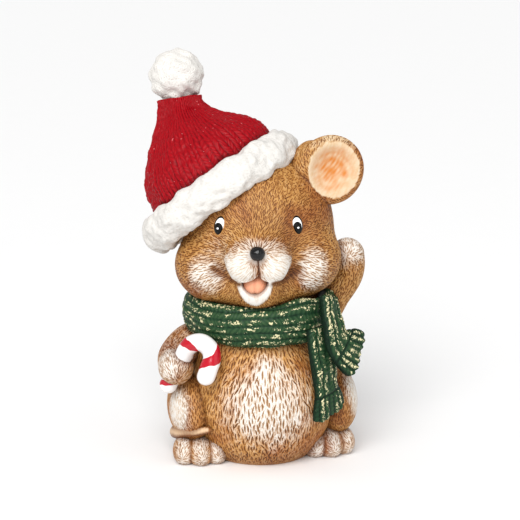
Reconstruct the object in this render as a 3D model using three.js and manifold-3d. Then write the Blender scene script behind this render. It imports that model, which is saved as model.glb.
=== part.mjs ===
// A seated hamster figurine of painted cast resin: torso and head castings, with limbs, ear, hat, scarf
// and candy cane as separate castings, each seated on its neighbour and located by a cast peg.
// Millimetres, +Z up, the face looks along -Y, the origin is the middle of the underside.
import * as THREE from "three";
import { mergeVertices } from "three/addons/utils/BufferGeometryUtils.js";
import Module from "manifold-3d";

const wasm = await Module();
wasm.setup();
const { clamp, degToRad, lerp, smoothstep } = THREE.MathUtils;
const vec = (x, y, z) => new THREE.Vector3(x, y, z);

// Fits shared by every seat
const GAP = 0.3;
const PEG_RADIUS = 2.4;
const PEG_DEPTH = 4;
const PEG_ROOT = 4;

// Height of the neck, the middle of the scarf's loop, which carries the head, scarf, arms and cane
const NECK_HEIGHT = 72;

// Torso casting, in a frame turned about the vertical so that the right foot leads
const BODY_TURN = 12;
const CHEST_DROP = 13;
const BELLY = { at: vec(0.5, -3, 31), radii: vec(34.5, 36, 34.5) };
const CHEST = { at: vec(-0.5, 1, NECK_HEIGHT - CHEST_DROP), radii: vec(28, 26, 22) };
const RUMP = { at: vec(0.5, 9, 27), radii: vec(34, 31, 31) };
const SEAT = { at: vec(0.5, 4, 10), radii: vec(27, 25, 16) };
const TORSO_BLEND = 4;

// Felt pad, flush in a recess of the underside
const PAD_RADIUS = 15;
const PAD_THICKNESS = 1.5;

// Legs, in the torso's frame
const HAUNCH_RADII = vec(11, 21, 17);
const HAUNCH_AT = { right: vec(-34.5, 0, 25.5), left: vec(36.5, -2, 25.5) };
const FOOT_AT = { right: vec(-30.5, -2.5, 0), left: vec(30.5, -3, 0) };
const FOOT_SPLAY = 8;
const INSTEP = { at: vec(0, 5, 6), radii: vec(11.5, 15, 10.5) };
const TOE_RADII = vec(5.2, 8.5, 7);
const TOE_SPACING = 8;
const TOE_REACH = { middle: -10.5, side: -8 };
const TOE_HEIGHT = 5.8;
const FOOT_BLEND = 1.5;

// Tail, laid round the right side and over the right foot, in the figure's frame
const TAIL_ROOT_RADIUS = 3.4;
const TAIL_TIP_RADIUS = 2.6;
const TAIL_POINTS = [
  vec(4, 31, 14),
  vec(-8, 38, 9),
  vec(-21, 35, 6.5),
  vec(-34, 22.5, 6.5),
  vec(-39.5, 7, 8.5),
  vec(-40.5, -8, 12),
  vec(-37.5, -18.5, 15.5),
  vec(-31, -24.5, 17.5),
  vec(-23, -28, 19.5),
];

// Head casting, in its own frame, whose origin is given from the neck
const HEAD_AT = vec(-1, 2, 41);
const SKULL = { at: vec(0.5, 0, 0), radii: vec(35.7, 35, 36) };
const CHEEK_RADII = vec(21, 21, 18);
const CHEEK_AT = { right: vec(-18.5, -10, -17.5), left: vec(18.5, -10, -14.5) };
const CHIN = { at: vec(0, -15, -24.5), radii: vec(22, 18, 14) };
const BRIDGE = { at: vec(0, -31, -5.5), radii: vec(14.5, 12, 9.5) };
const MUZZLE_RADII = vec(7.6, 8, 8);
const MUZZLE_AT = vec(7.2, -37, -12);
const LIP = { at: vec(0, -30.5, -25), radii: vec(10.5, 9, 8) };
const MOUTH = { at: vec(-1.2, -38, -21), radii: vec(7, 8, 6.6) };
const SMILE_RADII = vec(5.5, 4.5, 2.6);
const SMILE_AT = vec(19.5, -35, -15.5);
const SMILE_TURN = 35;
const HEAD_BLEND = 2.2;
const HEAD_CENTRE = vec(0, -8, -4);
const HEAD_FOCUSING = 0.5;
const SPIGOT_RADIUS = 12;
const SPIGOT_DEPTH = 8;

// Face pieces, in the head's frame
const EYE_RADII = vec(2.65, 2.2, 4.5);
const EYE_AT = { right: vec(-19.2, -31, 5.9), left: vec(19.6, -31, 6.1) };
const EYE_SET = 0.7;
const EYE_LEAN = { right: 12, left: -6 };
const NOSE_RADIUS = 3.6;
const NOSE_AT = vec(-0.2, -46, -5.1);
const NOSE_PROUD = 0.8;
const TONGUE_RADII = vec(5.6, 6, 4.8);
const TONGUE_AT = vec(-1.2, -33, -21.8);

// Ear, a bowl on a root, in the head's frame
const EAR_AT = vec(34.3, -9, 28);
const EAR_HALF_WIDTH = 16.3;
const EAR_HALF_HEIGHT = 16.5;
const EAR_HALF_THICKNESS = 5.5;
const EAR_RIM = 3;
const EAR_BOWL_DEPTH = 6;
const EAR_TURN = 14;
const EAR_ROOT = { at: vec(-8, 5, -2.5), radii: vec(11, 8, 16) };

// Hat, in its own frame: +Z along the hat's axis from the middle of its cuff
const HAT_AT = vec(-18, 1, 15.9);
const HAT_TILT_BACK = -11;
const HAT_TILT_SIDE = -35.5;
const CUFF_HALF_WIDTH = 36.6;
const CUFF_HALF_DEPTH = 31;
const CUFF_HALF_THICKNESS = 6.5;
const CUFF_HALF_HEIGHT = 8.5;
const CUFF_LUMPS = 17;
const CUFF_LUMP_DEPTH = 0.9;
const CROWN_HEIGHT = 48;
const CROWN_TIP_RADIUS = 9.6;
const CROWN_TUCK = 4;
const CROWN_LEAN = vec(9.2, 1.7, 0);
const CROWN_BOW = -0.5;
const CROWN_SLOPE = 0.25;
const CROWN_TIP_SLOPE = 0.25;
const CROWN_SHOULDER = 0.26;
const CROWN_FULLNESS = 1.22;
const CROWN_INSET = 1;
const CROWN_DRAW = { low: 0.06, high: 0.135 };
const CROWN_FOLDS = 11;
const CROWN_FOLD_DEPTH = 0.8;
const POMPOM_RADIUS = 13;
const POMPOM_SINK = 2;

// Scarf, in the neck's frame
const SCARF_AT = vec(0.3, 0, 0);
const SCARF_HALF_WIDTH = 32;
const SCARF_HALF_DEPTH = 30;
const SCARF_HALF_HEIGHT = 9.6;
const SCARF_HALF_THICKNESS = 5.5;
const SCARF_DROOP = 1.9;
const SCARF_RIBS = 5;
const SCARF_RIB_DEPTH = 0.5;

// Scarf ends, each along points that are given from the front left corner of the loop's width and depth
const END_THICKNESS = 5;
const END_ROUNDING = 0.5;
const END_BOWING = 0.005;
const LONG_END = {
  points: [vec(-5, 1, -2), vec(-3.6, 0, -13.5), vec(-2, 1, -25), vec(-0.6, 2.4, -35), vec(0.4, 4.4, -45.4)],
  width: 15,
  flare: 23,
  fringeShare: 0.35,
};
const SHORT_END = {
  points: [vec(-0.3, 8, 10), vec(1.7, 2.5, 1), vec(3.7, 0.5, -7.5), vec(7.4, 2, -12), vec(13.8, 7, -17)],
  width: 14.5,
  flare: 23.5,
  fringeShare: 0.6,
};

// Arms, in the neck's frame
const RIGHT_ARM = {
  points: [vec(-24, 2, -14), vec(-34, -1, -16.5), vec(-40, -9, -21), vec(-40.2, -19, -23), vec(-38.7, -31.4, -22.4)],
  radii: [9, 9, 8.6, 8.2, 8.4],
};
const LEFT_ARM = {
  points: [vec(23, 4, -16), vec(28, 7, -6.5), vec(34.2, 9, 4.5), vec(41.6, 8, 16.5), vec(42, 1, 33.4)],
  radii: [10, 9.8, 9.2, 8.6, 7.5],
};

// Candy cane, passing through the right paw, in the neck's frame
const CANE_RADIUS = 4.2;
const CANE_POINTS = [
  vec(-45.2, -20.3, -35.9),
  vec(-40, -22.6, -24.3),
  vec(-36, -25.2, -16.6),
  vec(-33.2, -28.2, -11.4),
  vec(-30, -30.2, -9),
  vec(-26.6, -31.3, -9.1),
  vec(-23.6, -32.2, -11.6),
  vec(-22.4, -33.2, -15.6),
  vec(-23.8, -34.6, -20.4),
  vec(-26.8, -36, -28),
];

// Facets: splits of a ball's edges, sides round a section and steps along a path
const FACETS = {
  torso: 7,
  haunch: 5,
  foot: 5,
  head: 10,
  bead: 2,
  pompom: 4,
  ear: 26,
  disc: 24,
  peg: 10,
  crown: { sides: 44, steps: 9 },
  cuff: { sides: 12, steps: 68 },
  scarf: { sides: 18, steps: 36 },
  end: { across: 6, steps: 14 },
  arm: { sides: 14, steps: 18 },
  tail: { sides: 10, steps: 36 },
  cane: { sides: 12, steps: 28 },
};

// Finishes
const paint = (color, roughness) => new THREE.MeshStandardMaterial({ color, roughness, metalness: 0 });
const FUR = paint(0xa8692c, 0.6);
const PALE_FUR = paint(0xe2cfae, 0.6);
const RED_KNIT = paint(0xb01020, 0.45);
const WHITE_PLUSH = paint(0xf2f1ee, 0.8);
const GREEN_KNIT = paint(0x1f5a35, 0.5);
const GLOSS_BLACK = paint(0x0c0b0b, 0.15);
const GLOSS_WHITE = paint(0xf6f4f1, 0.2);
const TONGUE_PINK = paint(0xe9a184, 0.4);
const BARE_SKIN = paint(0xc99a63, 0.5);
const DARK_FELT = paint(0x2c2a28, 0.95);

// Groups: the figure holds the turned body and the neck, the neck the head, and the head the hat
const figure = new THREE.Group();
const body = new THREE.Group();
const neck = new THREE.Group();
const head = new THREE.Group();
const hat = new THREE.Group();
figure.add(body, neck);
neck.add(head);
head.add(hat);
body.rotation.z = degToRad(BODY_TURN);
neck.position.z = NECK_HEIGHT;
head.position.copy(HEAD_AT);
hat.position.copy(HAT_AT);
hat.rotation.set(degToRad(HAT_TILT_BACK), degToRad(HAT_TILT_SIDE), 0, "YXZ");
figure.updateMatrixWorld(true);

// Rounded forms: egg-shaped lobes that melt into each other, with hollows pressed into them

// Nearly the distance from a point to an egg's skin, negative inside it.
function eggDistance({ at, radii, turn = 0 }, point) {
  const p = point.clone().sub(at).applyAxisAngle(vec(0, 1, 0), -degToRad(turn));
  const share = p.clone().divide(radii).length();
  const slope = p.clone().divide(radii).divide(radii).length();
  return slope ? (share * (share - 1)) / slope : -Math.min(radii.x, radii.y, radii.z);
}

// Distance to a form's skin: lobes joined and hollows taken out, both with rounded edges of size blend.
function formDistance({ lobes, hollows = [], blend }, point) {
  const soft = (values) => -blend * Math.log(values.reduce((sum, d) => sum + Math.exp(-d / blend), 0));
  const joined = soft(lobes.map((lobe) => eggDistance(lobe, point)));
  return hollows.reduce((d, hollow) => -soft([-d, eggDistance(hollow, point)]), joined);
}

// How far from the form's centre its skin lies along a direction, with the skin moved out by grow.
function skinReach(form, direction, grow = 0) {
  const FAR = 150;
  const STRIDE = 1.5;
  const HALVINGS = 14;
  const inside = (t) => formDistance(form, form.centre.clone().addScaledVector(direction, t)) < grow;
  let outer = FAR;
  while (outer > 0 && !inside(outer)) outer -= STRIDE;
  let inner = outer;
  outer += STRIDE;
  for (let i = 0; i < HALVINGS; i++) {
    const middle = (inner + outer) / 2;
    if (inside(middle)) inner = middle;
    else outer = middle;
  }
  return inner;
}

// The point of a form's skin that lies towards another point.
function skinTowards(form, point) {
  const direction = point.clone().sub(form.centre).normalize();
  return form.centre.clone().addScaledVector(direction, skinReach(form, direction));
}

// Draws directions together round the form's focus, where its finest features are.
function focused(direction, { focus, focusing = 1 }) {
  if (!focus) return direction;
  const angle = direction.angleTo(focus);
  const axis = focus.clone().cross(direction);
  if (axis.length() < 1e-9) return direction;
  const drawn = 2 * Math.atan(focusing * Math.tan(angle / 2));
  return focus.clone().applyAxisAngle(axis.normalize(), drawn);
}

// A ball whose points are moved to the form's skin.
function formGeometry(form, grow = 0) {
  const geometry = new THREE.IcosahedronGeometry(1, form.detail);
  const position = geometry.getAttribute("position");
  const direction = vec();
  for (let i = 0; i < position.count; i++) {
    direction.fromBufferAttribute(position, i).normalize();
    direction.copy(focused(direction, form));
    const reach = skinReach(form, direction, grow);
    position.setXYZ(i, ...direction.clone().multiplyScalar(reach).add(form.centre));
  }
  return geometry;
}

const egg = (at, radii, detail, turn = 0) => ({
  lobes: [{ at, radii, turn }],
  blend: 1,
  centre: at,
  detail,
});

// A ball drawn out along a curve, round at both ends, whose radius changes along it.
function limbGeometry({ points, radii, facets }, grow = 0) {
  const { sides, steps } = facets;
  const curve = new THREE.CatmullRomCurve3(points);
  const frames = curve.computeFrenetFrames(steps);
  const length = curve.getLength();
  const geometry = new THREE.SphereGeometry(1, sides, steps);
  const position = geometry.getAttribute("position");
  const radiusAt = (share) => {
    const place = share * (radii.length - 1);
    const first = Math.min(Math.floor(place), radii.length - 2);
    return lerp(radii[first], radii[first + 1], place - first) + grow;
  };
  for (let i = 0; i < position.count; i++) {
    const ring = Math.round((Math.acos(clamp(-position.getY(i), -1, 1)) / Math.PI) * steps);
    const share = ring / steps;
    const radius = radiusAt(share);
    const toEnd = Math.min(share, 1 - share) * length;
    const round = toEnd < radius ? Math.sqrt(1 - ((radius - toEnd) / radius) ** 2) : 1;
    const angle = Math.atan2(position.getZ(i), position.getX(i));
    const across = frames.normals[ring].clone().multiplyScalar(Math.cos(angle));
    across.addScaledVector(frames.binormals[ring], -Math.sin(angle));
    const onAxis = Math.hypot(position.getX(i), position.getZ(i)) < 1e-6;
    const centre = curve.getPointAt(share);
    position.setXYZ(i, ...centre.addScaledVector(across, onAxis ? 0 : radius * round));
  }
  return geometry;
}

// A ring whose section is an oval, with each point placed by place(angle round, angle of section).
function ringGeometry({ sides, steps }, place) {
  const geometry = new THREE.TorusGeometry(2, 1, sides, steps);
  const position = geometry.getAttribute("position");
  const uv = geometry.getAttribute("uv");
  for (let i = 0; i < position.count; i++) {
    const round = uv.getX(i) * 2 * Math.PI;
    const section = uv.getY(i) * 2 * Math.PI;
    position.setXYZ(i, ...place(round, section));
  }
  return geometry;
}

// A flat band along a curve, facing away from an upright axis, that widens into a fringe.
function bandGeometry({ points, width, flare, fringeShare }, grow = 0) {
  const curve = new THREE.CatmullRomCurve3(points);
  const { across: columns, steps } = FACETS.end;
  const geometry = new THREE.BoxGeometry(1, 1, 1, columns, 1, steps);
  const position = geometry.getAttribute("position");
  const length = curve.getLength();
  for (let i = 0; i < position.count; i++) {
    const share = position.getZ(i) + 0.5;
    const across = 2 * position.getX(i);
    const centre = curve.getPointAt(share);
    const along = curve.getTangentAt(share);
    const outward = vec(centre.x, centre.y, 0).normalize();
    const side = outward.clone().cross(along).normalize();
    const face = along.clone().cross(side).normalize();
    const toEnd = 2 * share - 1;
    const wide = lerp(width, flare, smoothstep(share, 1 - fringeShare, 1)) / 2 + grow;
    const thick = END_THICKNESS * (1 - END_ROUNDING * across ** 4) + 2 * grow;
    centre.addScaledVector(side, across * wide);
    centre.addScaledVector(face, position.getY(i) * thick);
    centre.addScaledVector(along, toEnd * (grow - END_BOWING * length * across ** 2));
    position.setXYZ(i, ...centre);
  }
  return geometry;
}

// Solids: closed geometry in the figure's frame, joined and cut

// A geometry of a group, as a solid in the figure's frame.
function solid(geometry, group = figure) {
  const shape = geometry.clone().applyMatrix4(group.matrixWorld);
  shape.deleteAttribute("normal");
  shape.deleteAttribute("uv");
  const merged = mergeVertices(shape, 1e-4);
  const vertProperties = new Float32Array(merged.getAttribute("position").array);
  return new wasm.Manifold(
    new wasm.Mesh({ numProp: 3, vertProperties, triVerts: new Uint32Array(merged.index.array) }),
  );
}

// A round bar between two points, as a solid.
function bar(from, to, radius, group, sides) {
  const along = to.clone().sub(from);
  const geometry = new THREE.CylinderGeometry(radius, radius, along.length(), sides);
  geometry.applyQuaternion(
    new THREE.Quaternion().setFromUnitVectors(vec(0, 1, 0), along.clone().normalize()),
  );
  return solid(geometry.translate(...from.clone().add(to).multiplyScalar(0.5)), group);
}

// Pieces by name, each with its solid, its finish and the group that carries it.
const pieces = new Map();
function piece(name, shape, material, group) {
  pieces.set(name, { shape, material, group });
}
const cut = (name, ...tools) => {
  const entry = pieces.get(name);
  for (const tool of tools) entry.shape = entry.shape.subtract(tool);
};
const join = (name, addition) => {
  const entry = pieces.get(name);
  entry.shape = entry.shape.add(addition);
};

// Pegs, each cast on a piece and reaching into the casting that carries it
const pegs = [];
function peg(name, from, to, group) {
  const past = to.clone().sub(from).setLength(GAP);
  const socket = bar(from, to.clone().add(past), PEG_RADIUS + GAP, group, FACETS.peg);
  pegs.push({ name, shape: bar(from, to, PEG_RADIUS, group, FACETS.peg), socket });
}

// A peg along the line from the host's centre to a point of the piece, rooted no nearer than that point.
function pegInto(name, point, hostForm, hostGroup) {
  const inHost = hostGroup.worldToLocal(point.clone());
  const outward = inHost.clone().sub(hostForm.centre).normalize();
  const skin = skinTowards(hostForm, inHost);
  const root = Math.max(PEG_ROOT, inHost.sub(skin).dot(outward));
  const from = skin.clone().addScaledVector(outward, root);
  peg(name, from, skin.clone().addScaledVector(outward, -PEG_DEPTH), hostGroup);
}

// The forms of the castings
const torsoForm = {
  lobes: [BELLY, CHEST, RUMP, SEAT],
  blend: TORSO_BLEND,
  centre: BELLY.at,
  detail: FACETS.torso,
};
const mirrored = (at) => vec(-at.x, at.y, at.z);
const muzzlePads = [MUZZLE_AT, mirrored(MUZZLE_AT)].map((at) => ({ at, radii: MUZZLE_RADII }));
const headForm = {
  lobes: [
    SKULL,
    { at: CHEEK_AT.right, radii: CHEEK_RADII },
    { at: CHEEK_AT.left, radii: CHEEK_RADII },
    CHIN,
    BRIDGE,
    ...muzzlePads,
    LIP,
  ],
  hollows: [
    { at: SMILE_AT, radii: SMILE_RADII, turn: -SMILE_TURN },
    { at: mirrored(SMILE_AT), radii: SMILE_RADII, turn: SMILE_TURN },
  ],
  blend: HEAD_BLEND,
  centre: HEAD_CENTRE,
  focus: MUZZLE_AT.clone().setX(0).normalize(),
  focusing: HEAD_FOCUSING,
  detail: FACETS.head,
};
const toes = [-1, 0, 1].map((i) => ({
  at: vec(i * TOE_SPACING, i ? TOE_REACH.side : TOE_REACH.middle, TOE_HEIGHT),
  radii: TOE_RADII,
}));
const footForm = {
  lobes: [INSTEP, ...toes],
  blend: FOOT_BLEND,
  centre: vec(0, 0, TOE_HEIGHT),
  detail: FACETS.foot,
};

// Everything under the floor, to cut the castings flat where they stand.
const FLOOR_SIZE = 400;
const floor = solid(new THREE.BoxGeometry(FLOOR_SIZE, FLOOR_SIZE, FLOOR_SIZE).translate(0, 0, -FLOOR_SIZE / 2));

// Torso casting and the pad in its underside
const torsoGrown = solid(formGeometry(torsoForm, GAP), body);
piece("torso_casting", solid(formGeometry(torsoForm), body), FUR, body);
const discAt = (radius, low, high) => bar(vec(0, 0, low), vec(0, 0, high), radius, figure, FACETS.disc);
cut("torso_casting", floor, discAt(PAD_RADIUS + GAP, -GAP, PAD_THICKNESS + GAP));
piece("base_pad", discAt(PAD_RADIUS, 0, PAD_THICKNESS), DARK_FELT, body);

// Head casting with its neck spigot, seated in a dish in the torso
const headGrown = solid(formGeometry(headForm, GAP), head);
piece("head_casting", solid(formGeometry(headForm), head), FUR, head);
cut("torso_casting", headGrown);
const spigotTop = vec(0, 0, 0);
const spigotTip = vec(0, 0, headForm.centre.z - skinReach(headForm, vec(0, 0, -1)) - SPIGOT_DEPTH);
const socketEnd = spigotTip.clone().setZ(spigotTip.z - GAP);
join("head_casting", bar(spigotTip, spigotTop, SPIGOT_RADIUS, head, FACETS.disc));
cut("torso_casting", bar(socketEnd, spigotTop, SPIGOT_RADIUS + GAP, head, FACETS.disc));

// Eyes and nose let into the head, and the tongue in the mouth under the muzzle's pads
const setIn = (at, depth) => {
  const skin = skinTowards(headForm, at);
  return skin.add(headForm.centre.clone().sub(skin).setLength(depth));
};
const beadSolid = ({ at, radii, turn }, grow = 0) =>
  solid(formGeometry(egg(at, radii, FACETS.bead, turn), grow), head);
const mouth = muzzlePads.reduce((hollow, pad) => hollow.subtract(beadSolid(pad)), beadSolid(MOUTH));
cut("head_casting", mouth);
const beads = [
  ["nose", { at: setIn(NOSE_AT, -NOSE_PROUD), radii: vec(NOSE_RADIUS, NOSE_RADIUS, NOSE_RADIUS) }, GLOSS_BLACK],
  ["tongue", { at: TONGUE_AT, radii: TONGUE_RADII }, TONGUE_PINK],
];
for (const side of ["right", "left"]) {
  const eye = { at: setIn(EYE_AT[side], EYE_SET), radii: EYE_RADII, turn: EYE_LEAN[side] };
  beads.push([`${side}_eye`, eye, GLOSS_WHITE]);
}
for (const [name, bead, material] of beads) {
  piece(name, beadSolid(bead), material, head);
  cut("head_casting", beadSolid(bead, GAP));
}

// Hat: a knitted crown seated on the head, a plush cuff round it and a pompom on its tip
const waves = (many, few) => (Math.sin(many) + Math.sin(few)) / 2;
function crownFold(round, share) {
  const few = (CROWN_FOLDS - 4) * round - 9 * share + 1;
  return CROWN_FOLD_DEPTH * Math.sin(Math.PI * share) * waves(CROWN_FOLDS * round + 6 * share, few);
}
const cuffLump = (round, section) =>
  CUFF_LUMP_DEPTH * waves(CUFF_LUMPS * round + 2 * section, (CUFF_LUMPS - 6) * round - 3 * section + 1);
// Share of the crown's width left on the side that is drawn in over the cuff.
function crownWidth(across, share) {
  const draw = lerp(CROWN_DRAW.low, CROWN_DRAW.high, smoothstep(share, 0.05, 0.35));
  return 1 - draw * smoothstep(-across, 0, 0.9) * (1 - smoothstep(share, 0.5, 0.95));
}
function crownGeometry(grow = 0) {
  const geometry = new THREE.CylinderGeometry(1, 1, 1, FACETS.crown.sides, FACETS.crown.steps);
  const position = geometry.getAttribute("position");
  for (let i = 0; i < position.count; i++) {
    const share = position.getY(i) + 0.5;
    const fall = Math.max(0, (share - CROWN_SHOULDER) / (1 - CROWN_SHOULDER)) ** CROWN_FULLNESS;
    const taper = 0.5 + 0.5 * Math.cos(Math.PI * fall);
    const lean = share ** 3;
    const fold = crownFold(Math.atan2(-position.getZ(i), position.getX(i)), share) + grow;
    const wide = lerp(CROWN_TIP_RADIUS, CUFF_HALF_WIDTH - CROWN_INSET, taper);
    const across = wide * crownWidth(position.getX(i), share) + fold;
    const deep = lerp(CROWN_TIP_RADIUS, CUFF_HALF_DEPTH - CROWN_INSET, taper) + fold;
    const rise = -CROWN_TUCK - grow + (CROWN_HEIGHT + CROWN_TUCK + 2 * grow) * share;
    position.setXYZ(
      i,
      position.getX(i) * across + CROWN_LEAN.x * lean + CROWN_BOW * Math.sin(Math.PI * share),
      -position.getZ(i) * deep + CROWN_LEAN.y * lean,
      rise - (CROWN_SLOPE * share ** 2 + CROWN_TIP_SLOPE * share ** 6) * position.getX(i) * across,
    );
  }
  return geometry;
}
function cuffGeometry(grow = 0) {
  return ringGeometry(FACETS.cuff, (round, section) => {
    const lump = cuffLump(round, section) + grow;
    const thickness = (CUFF_HALF_THICKNESS + lump) * Math.cos(section);
    return [
      Math.cos(round) * (CUFF_HALF_WIDTH + thickness),
      Math.sin(round) * (CUFF_HALF_DEPTH + thickness),
      (CUFF_HALF_HEIGHT + lump) * Math.sin(section),
    ];
  });
}
const crownGrown = solid(crownGeometry(GAP), hat);
const cuffGrown = solid(cuffGeometry(GAP), hat);
piece("hat_crown", solid(crownGeometry(), hat), RED_KNIT, hat);
cut("hat_crown", headGrown);
piece("hat_cuff", solid(cuffGeometry(), hat), WHITE_PLUSH, hat);
cut("hat_cuff", headGrown, crownGrown);
pegInto("hat_crown", hat.localToWorld(vec(0, 0, 0)), headForm, head);
const crownTip = vec(CROWN_LEAN.x, CROWN_LEAN.y, CROWN_HEIGHT);
const tipLean = vec(3 * CROWN_LEAN.x, 3 * CROWN_LEAN.y, CROWN_HEIGHT + CROWN_TUCK).normalize();
const pompomAt = crownTip.clone().addScaledVector(tipLean, POMPOM_RADIUS - POMPOM_SINK);
const pompomForm = egg(pompomAt, vec(POMPOM_RADIUS, POMPOM_RADIUS, POMPOM_RADIUS), FACETS.pompom);
piece("hat_pompom", solid(formGeometry(pompomForm), hat), WHITE_PLUSH, hat);
cut("hat_pompom", crownGrown);
peg(
  "hat_pompom",
  crownTip.clone().addScaledVector(tipLean, PEG_ROOT),
  crownTip.clone().addScaledVector(tipLean, -PEG_DEPTH),
  hat,
);

// Ear, on the side of the head that the hat leaves bare: share of the half width, and depth behind the rim
const bowlProfile = [
  [0, EAR_BOWL_DEPTH - EAR_HALF_THICKNESS],
  [0.45, EAR_BOWL_DEPTH * 0.85 - EAR_HALF_THICKNESS],
  [1 - (1.6 * EAR_RIM) / EAR_HALF_WIDTH, EAR_BOWL_DEPTH * 0.35 - EAR_HALF_THICKNESS],
  [1 - EAR_RIM / EAR_HALF_WIDTH, -EAR_HALF_THICKNESS],
  [1 - (0.3 * EAR_RIM) / EAR_HALF_WIDTH, -EAR_HALF_THICKNESS * 0.8],
  [1, -EAR_HALF_THICKNESS * 0.2],
  [0.93, EAR_HALF_THICKNESS * 0.4],
  [0.7, EAR_HALF_THICKNESS * 0.85],
  [0, EAR_HALF_THICKNESS],
];
const earGeometry = new THREE.LatheGeometry(
  bowlProfile.map(([share, depth]) => new THREE.Vector2(share, depth)),
  FACETS.ear,
);
earGeometry.scale(EAR_HALF_WIDTH, 1, EAR_HALF_HEIGHT);
earGeometry.rotateZ(degToRad(EAR_TURN));
const earRootAt = EAR_AT.clone().add(EAR_ROOT.at);
const ear = solid(earGeometry.translate(...EAR_AT), head);
piece("left_ear", ear.add(beadSolid({ at: earRootAt, radii: EAR_ROOT.radii })), FUR, head);
cut("left_ear", headGrown, cuffGrown, crownGrown);
pegInto("left_ear", head.localToWorld(earRootAt.clone()), headForm, head);

// Scarf loop, held between head and torso
function scarfGeometry(grow = 0) {
  return ringGeometry(FACETS.scarf, (round, section) => {
    const rib = SCARF_RIB_DEPTH * Math.cos(SCARF_RIBS * Math.PI * Math.sin(section));
    const thickness = (SCARF_HALF_THICKNESS + grow + rib) * Math.cos(section);
    return [
      SCARF_AT.x + Math.cos(round) * (SCARF_HALF_WIDTH + thickness),
      SCARF_AT.y + Math.sin(round) * (SCARF_HALF_DEPTH + thickness),
      SCARF_AT.z + SCARF_DROOP * Math.sin(round) + (SCARF_HALF_HEIGHT + grow) * Math.sin(section),
    ];
  });
}
const scarfGrown = solid(scarfGeometry(GAP), neck);
piece("scarf_loop", solid(scarfGeometry(), neck), GREEN_KNIT, neck);
cut("scarf_loop", headGrown, torsoGrown);

// Legs: haunches on the torso's flanks, feet in front of them
const haunchSolid = (side, grow) =>
  solid(formGeometry(egg(HAUNCH_AT[side], HAUNCH_RADII, FACETS.haunch), grow), body);
for (const [side, outward] of [["right", -1], ["left", 1]]) {
  piece(`${side}_haunch`, haunchSolid(side, 0), FUR, body);
  cut(`${side}_haunch`, torsoGrown, floor);
  pegInto(`${side}_haunch`, body.localToWorld(HAUNCH_AT[side].clone()), torsoForm, body);
  const foot = formGeometry(footForm).rotateZ(degToRad(FOOT_SPLAY * outward)).translate(...FOOT_AT[side]);
  piece(`${side}_foot`, solid(foot, body), PALE_FUR, body);
  cut(`${side}_foot`, torsoGrown, haunchSolid(side, GAP), floor);
  const ankle = FOOT_AT[side].clone().add(vec(0, INSTEP.at.y, INSTEP.at.z));
  pegInto(`${side}_foot`, body.localToWorld(ankle), torsoForm, body);
}

// Tail, from the rump round the right haunch and over the right foot
const tailRadii = [TAIL_ROOT_RADIUS, TAIL_ROOT_RADIUS, TAIL_TIP_RADIUS];
const tailLimb = { points: TAIL_POINTS, radii: tailRadii, facets: FACETS.tail };
piece("tail", solid(limbGeometry(tailLimb)), BARE_SKIN, figure);
cut("tail", torsoGrown, floor);
pegInto("tail", TAIL_POINTS[1].clone(), torsoForm, body);
const tailGrown = solid(limbGeometry(tailLimb, GAP));
cut("right_foot", tailGrown);
cut("right_haunch", tailGrown);

// Arms: the right one holds the cane, the left one is raised beside the cheek
const armSolid = (arm, grow) => solid(limbGeometry({ ...arm, facets: FACETS.arm }, grow), neck);
const caneLimb = { points: CANE_POINTS, radii: [CANE_RADIUS, CANE_RADIUS], facets: FACETS.cane };
const caneSolid = (grow) => solid(limbGeometry(caneLimb, grow), neck);
piece("right_arm", armSolid(RIGHT_ARM, 0), FUR, neck);
cut("right_arm", torsoGrown, headGrown, scarfGrown, caneSolid(GAP), haunchSolid("right", GAP));
piece("left_arm", armSolid(LEFT_ARM, 0), FUR, neck);
cut("left_arm", torsoGrown, headGrown);
cut("scarf_loop", armSolid(LEFT_ARM, GAP));
for (const [name, arm] of [["right_arm", RIGHT_ARM], ["left_arm", LEFT_ARM]])
  pegInto(name, neck.localToWorld(arm.points[0].clone()), torsoForm, body);
piece("candy_cane", caneSolid(0), GLOSS_WHITE, neck);
cut("candy_cane", torsoGrown, scarfGrown, haunchSolid("right", GAP));

// Scarf ends, the short one over the long one
const endCorner = SCARF_AT.clone().add(vec(SCARF_HALF_WIDTH, -SCARF_HALF_DEPTH, 0));
const placedEnd = (end) => ({ ...end, points: end.points.map((point) => point.clone().add(endCorner)) });
const longEnd = placedEnd(LONG_END);
const shortEnd = placedEnd(SHORT_END);
const bandSolid = (end, grow) => solid(bandGeometry(end, grow), neck);
const leftHaunchGrown = haunchSolid("left", GAP);
piece("scarf_long_end", bandSolid(longEnd, 0), GREEN_KNIT, neck);
cut("scarf_long_end", torsoGrown, scarfGrown, headGrown, leftHaunchGrown);
pegInto("scarf_long_end", neck.localToWorld(longEnd.points[2].clone()), torsoForm, body);
piece("scarf_short_end", bandSolid(shortEnd, 0), GREEN_KNIT, neck);
cut("scarf_short_end", torsoGrown, scarfGrown, headGrown, bandSolid(longEnd, GAP), leftHaunchGrown);
cut("scarf_short_end", armSolid(LEFT_ARM, GAP));
const shortRoot = shortEnd.points[1];
const loopCore = shortRoot.clone().setZ(SCARF_AT.z).sub(SCARF_AT).setLength(SCARF_HALF_DEPTH).add(SCARF_AT);
peg("scarf_short_end", shortRoot, loopCore, neck);

// Pegs come last, so that each has its socket in every piece that it reaches.
for (const { name, shape, socket } of pegs) {
  join(name, shape);
  for (const other of pieces.keys()) if (other !== name) cut(other, socket);
}

// The main body of a solid, without the slivers that a cut can leave beside it.
function mainBody(shape) {
  return shape.decompose().reduce((best, next) => (next.volume() > best.volume() ? next : best));
}

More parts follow.
